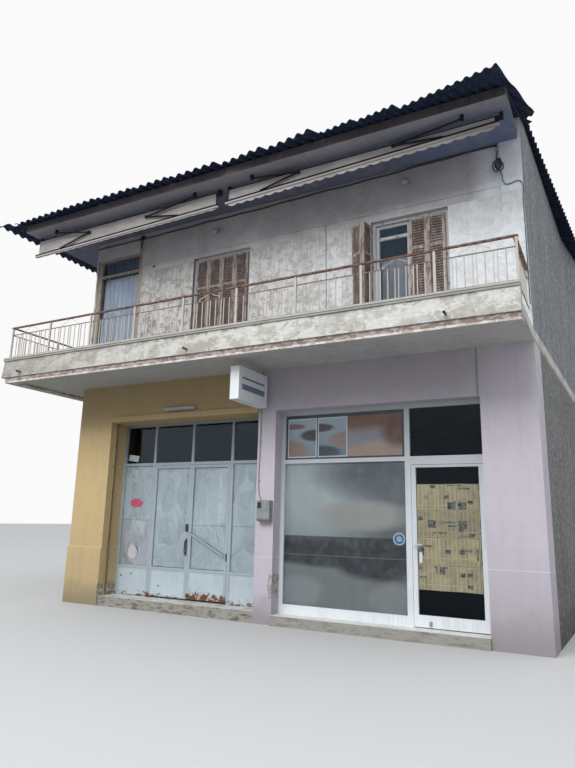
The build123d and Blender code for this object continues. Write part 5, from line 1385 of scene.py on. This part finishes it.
# Meter box
# Grey plastic box with a dark reading window, its key knob and the rim of its lid.
glass_y = -0.1150
box_plastic, place = start_material("grey_box_plastic")
dull = span(noise(place, 9.0, 7, 0.65), 0.3, 0.72)
shade = blend(dull, (0.32, 0.335, 0.345), (0.21, 0.22, 0.23))
cover(box_plastic, shade, span(dull, 0, 1, 0.4, 0.6), (noise(place, 220.0, 3, 0.6), 0.1, 0.001))
finish_nodes(box_plastic, "meter_box")
window = cube_between((4.126, glass_y - 0.0025, 1.722), (4.196, glass_y - 0.0003, 1.812), 0.0008)
smoked, place = start_material("smoked_window")
cover(smoked, blend(noise(place, 40.0, 5, 0.6), (0.010, 0.011, 0.012), (0.022, 0.023, 0.025)), 0.12)
settle(window, "meter_window", "house", smoked)
knob = disc(4.306, glass_y - 0.006, 1.790, 0.015, 0.012, 24)
rim = cube_between((4.118, glass_y - 0.0015, 1.566), (4.334, glass_y - 0.0003, 1.572), 0.0004)
settle(join([knob, rim]), "meter_knob", "house", box_plastic)

# Pipes and cables on the walls
# Grey plastic conduit feeds the meter box and the upper wall; a black cable runs under the eaves to a
# coil and an insulator at the right-hand corner, and on down the wall; an iron hook holds a ring.
pipe_finish = metal_material("grey_conduit", (0.30, 0.30, 0.30), (0.16, 0.16, 0.15), 0.1)
black_cable = metal_material("black_cable", (0.022, 0.023, 0.026), (0.05, 0.05, 0.05), 0.0)
meter_pipe = [(4.082, -0.009, 3.966), (4.083, -0.0095, 2.9), (4.087, -0.009, 1.93), (4.128, -0.012, 1.852)]
pier_pipe = [(7.530, -0.008, 3.966), (7.531, -0.0085, 3.6), (7.530, -0.008, 3.290)]
upper_pipe = [(5.181, 0.040, 6.376), (5.186, 0.041, 6.2), (5.205, 0.040, 5.2), (5.212, 0.041, 4.42)]
pipes = [round_bar(meter_pipe, 0.009), round_bar(pier_pipe, 0.008), round_bar(upper_pipe, 0.006)]
for x, z in ((4.082, 3.55), (4.084, 2.75), (4.086, 2.15), (7.530, 3.75), (7.530, 3.40)):
    pipes.append(cube_between((x - 0.016, -0.019, z - 0.008), (x + 0.016, -0.0002, z + 0.008), 0.003))
settle(join(pipes), "wall_conduits", "house", pipe_finish)

eaves_line = []
for share in (k / 32 for k in range(33)):
    sag = 0.012 * math.sin(share * 61) + 0.010 * math.sin(share * 23)
    eaves_line.append((0.03 + 7.93 * share, 0.018, 6.945 + 0.10 * share**2 + 0.5 * sag))
coil = []
for k in range(64):
    turn = k * math.radians(27)
    spread = 0.040 + 0.022 * math.sin(k * 0.37)
    x = 7.975 + 0.014 * math.sin(k * 0.21) + spread * math.cos(turn)
    z = 6.690 + 0.012 * math.cos(k * 0.4) + 1.7 * spread * math.sin(turn)
    coil.append((x, -0.012 - 0.0022 * (k % 13), z))
lead = [(7.960, 0.012, 7.030), (7.972, -0.006, 6.960), (7.965, -0.014, 6.86), (7.950, -0.016, 6.760)]
corner = [(8.040, 6.40), (8.07, 6.36), (8.25, 6.37), (8.283, 6.33), (8.286, 6.1), (8.284, 4.50)]
corner = [(8.000, -0.014, 6.60), (8.020, -0.012, 6.52)] + [(x, -0.011, z) for x, z in corner]
cables = [round_bar(eaves_line, 0.014, 3), round_bar(coil, 0.0085, 3)]
cables += [round_bar(lead, 0.010, 5), round_bar(corner, 0.006, 6)]
settle(join(cables), "eaves_cable", "house", black_cable)
insulator = [disc(7.966, -0.020 - 0.018 * k, 6.934, 0.020 - 0.004 * (k % 2), 0.017, 18) for k in range(3)]
insulator.append(round_bar([(7.966, 0.034, 6.934), (7.966, 0.0, 6.934), (7.966, -0.062, 6.938)], 0.007))
settle(join(insulator), "insulator", "house", pipe_finish)
hook = [cube_between((1.150, 0.004, 6.930), (1.250, 0.0338, 7.010), 0.004)]
left_arm = [(1.180, 0.012, 6.95), (1.185, -0.014, 6.88), (1.200, -0.016, 6.80), (1.205, -0.006, 6.73)]
right_arm = [(1.222, 0.012, 6.95), (1.232, -0.014, 6.87), (1.224, -0.016, 6.78), (1.207, -0.006, 6.73)]
hook += [round_bar(left_arm, 0.010), round_bar(right_arm, 0.010)]
ring = {"major_radius": 0.034, "minor_radius": 0.006, "major_segments": 28, "minor_segments": 8}
ring.update(location=(1.212, -0.008, 6.690), rotation=(math.radians(90), 0, 0))
hook.append(start(bpy.ops.mesh.primitive_torus_add, **ring))
settle(join(hook), "eaves_hook", "house", black_iron)

# Lamps
# A tube lamp over the left shop and two opal globes under the ring beam.
tones = (0.40, 0.41, 0.42), (0.25, 0.26, 0.27)
opal = (tones, (0.2, 0.4), (14.0, 7, 0.65), (0.3, 0.72), (0.05, 0.001))
finish_nodes(mottled_material("opal_glass", *opal), "lamps")
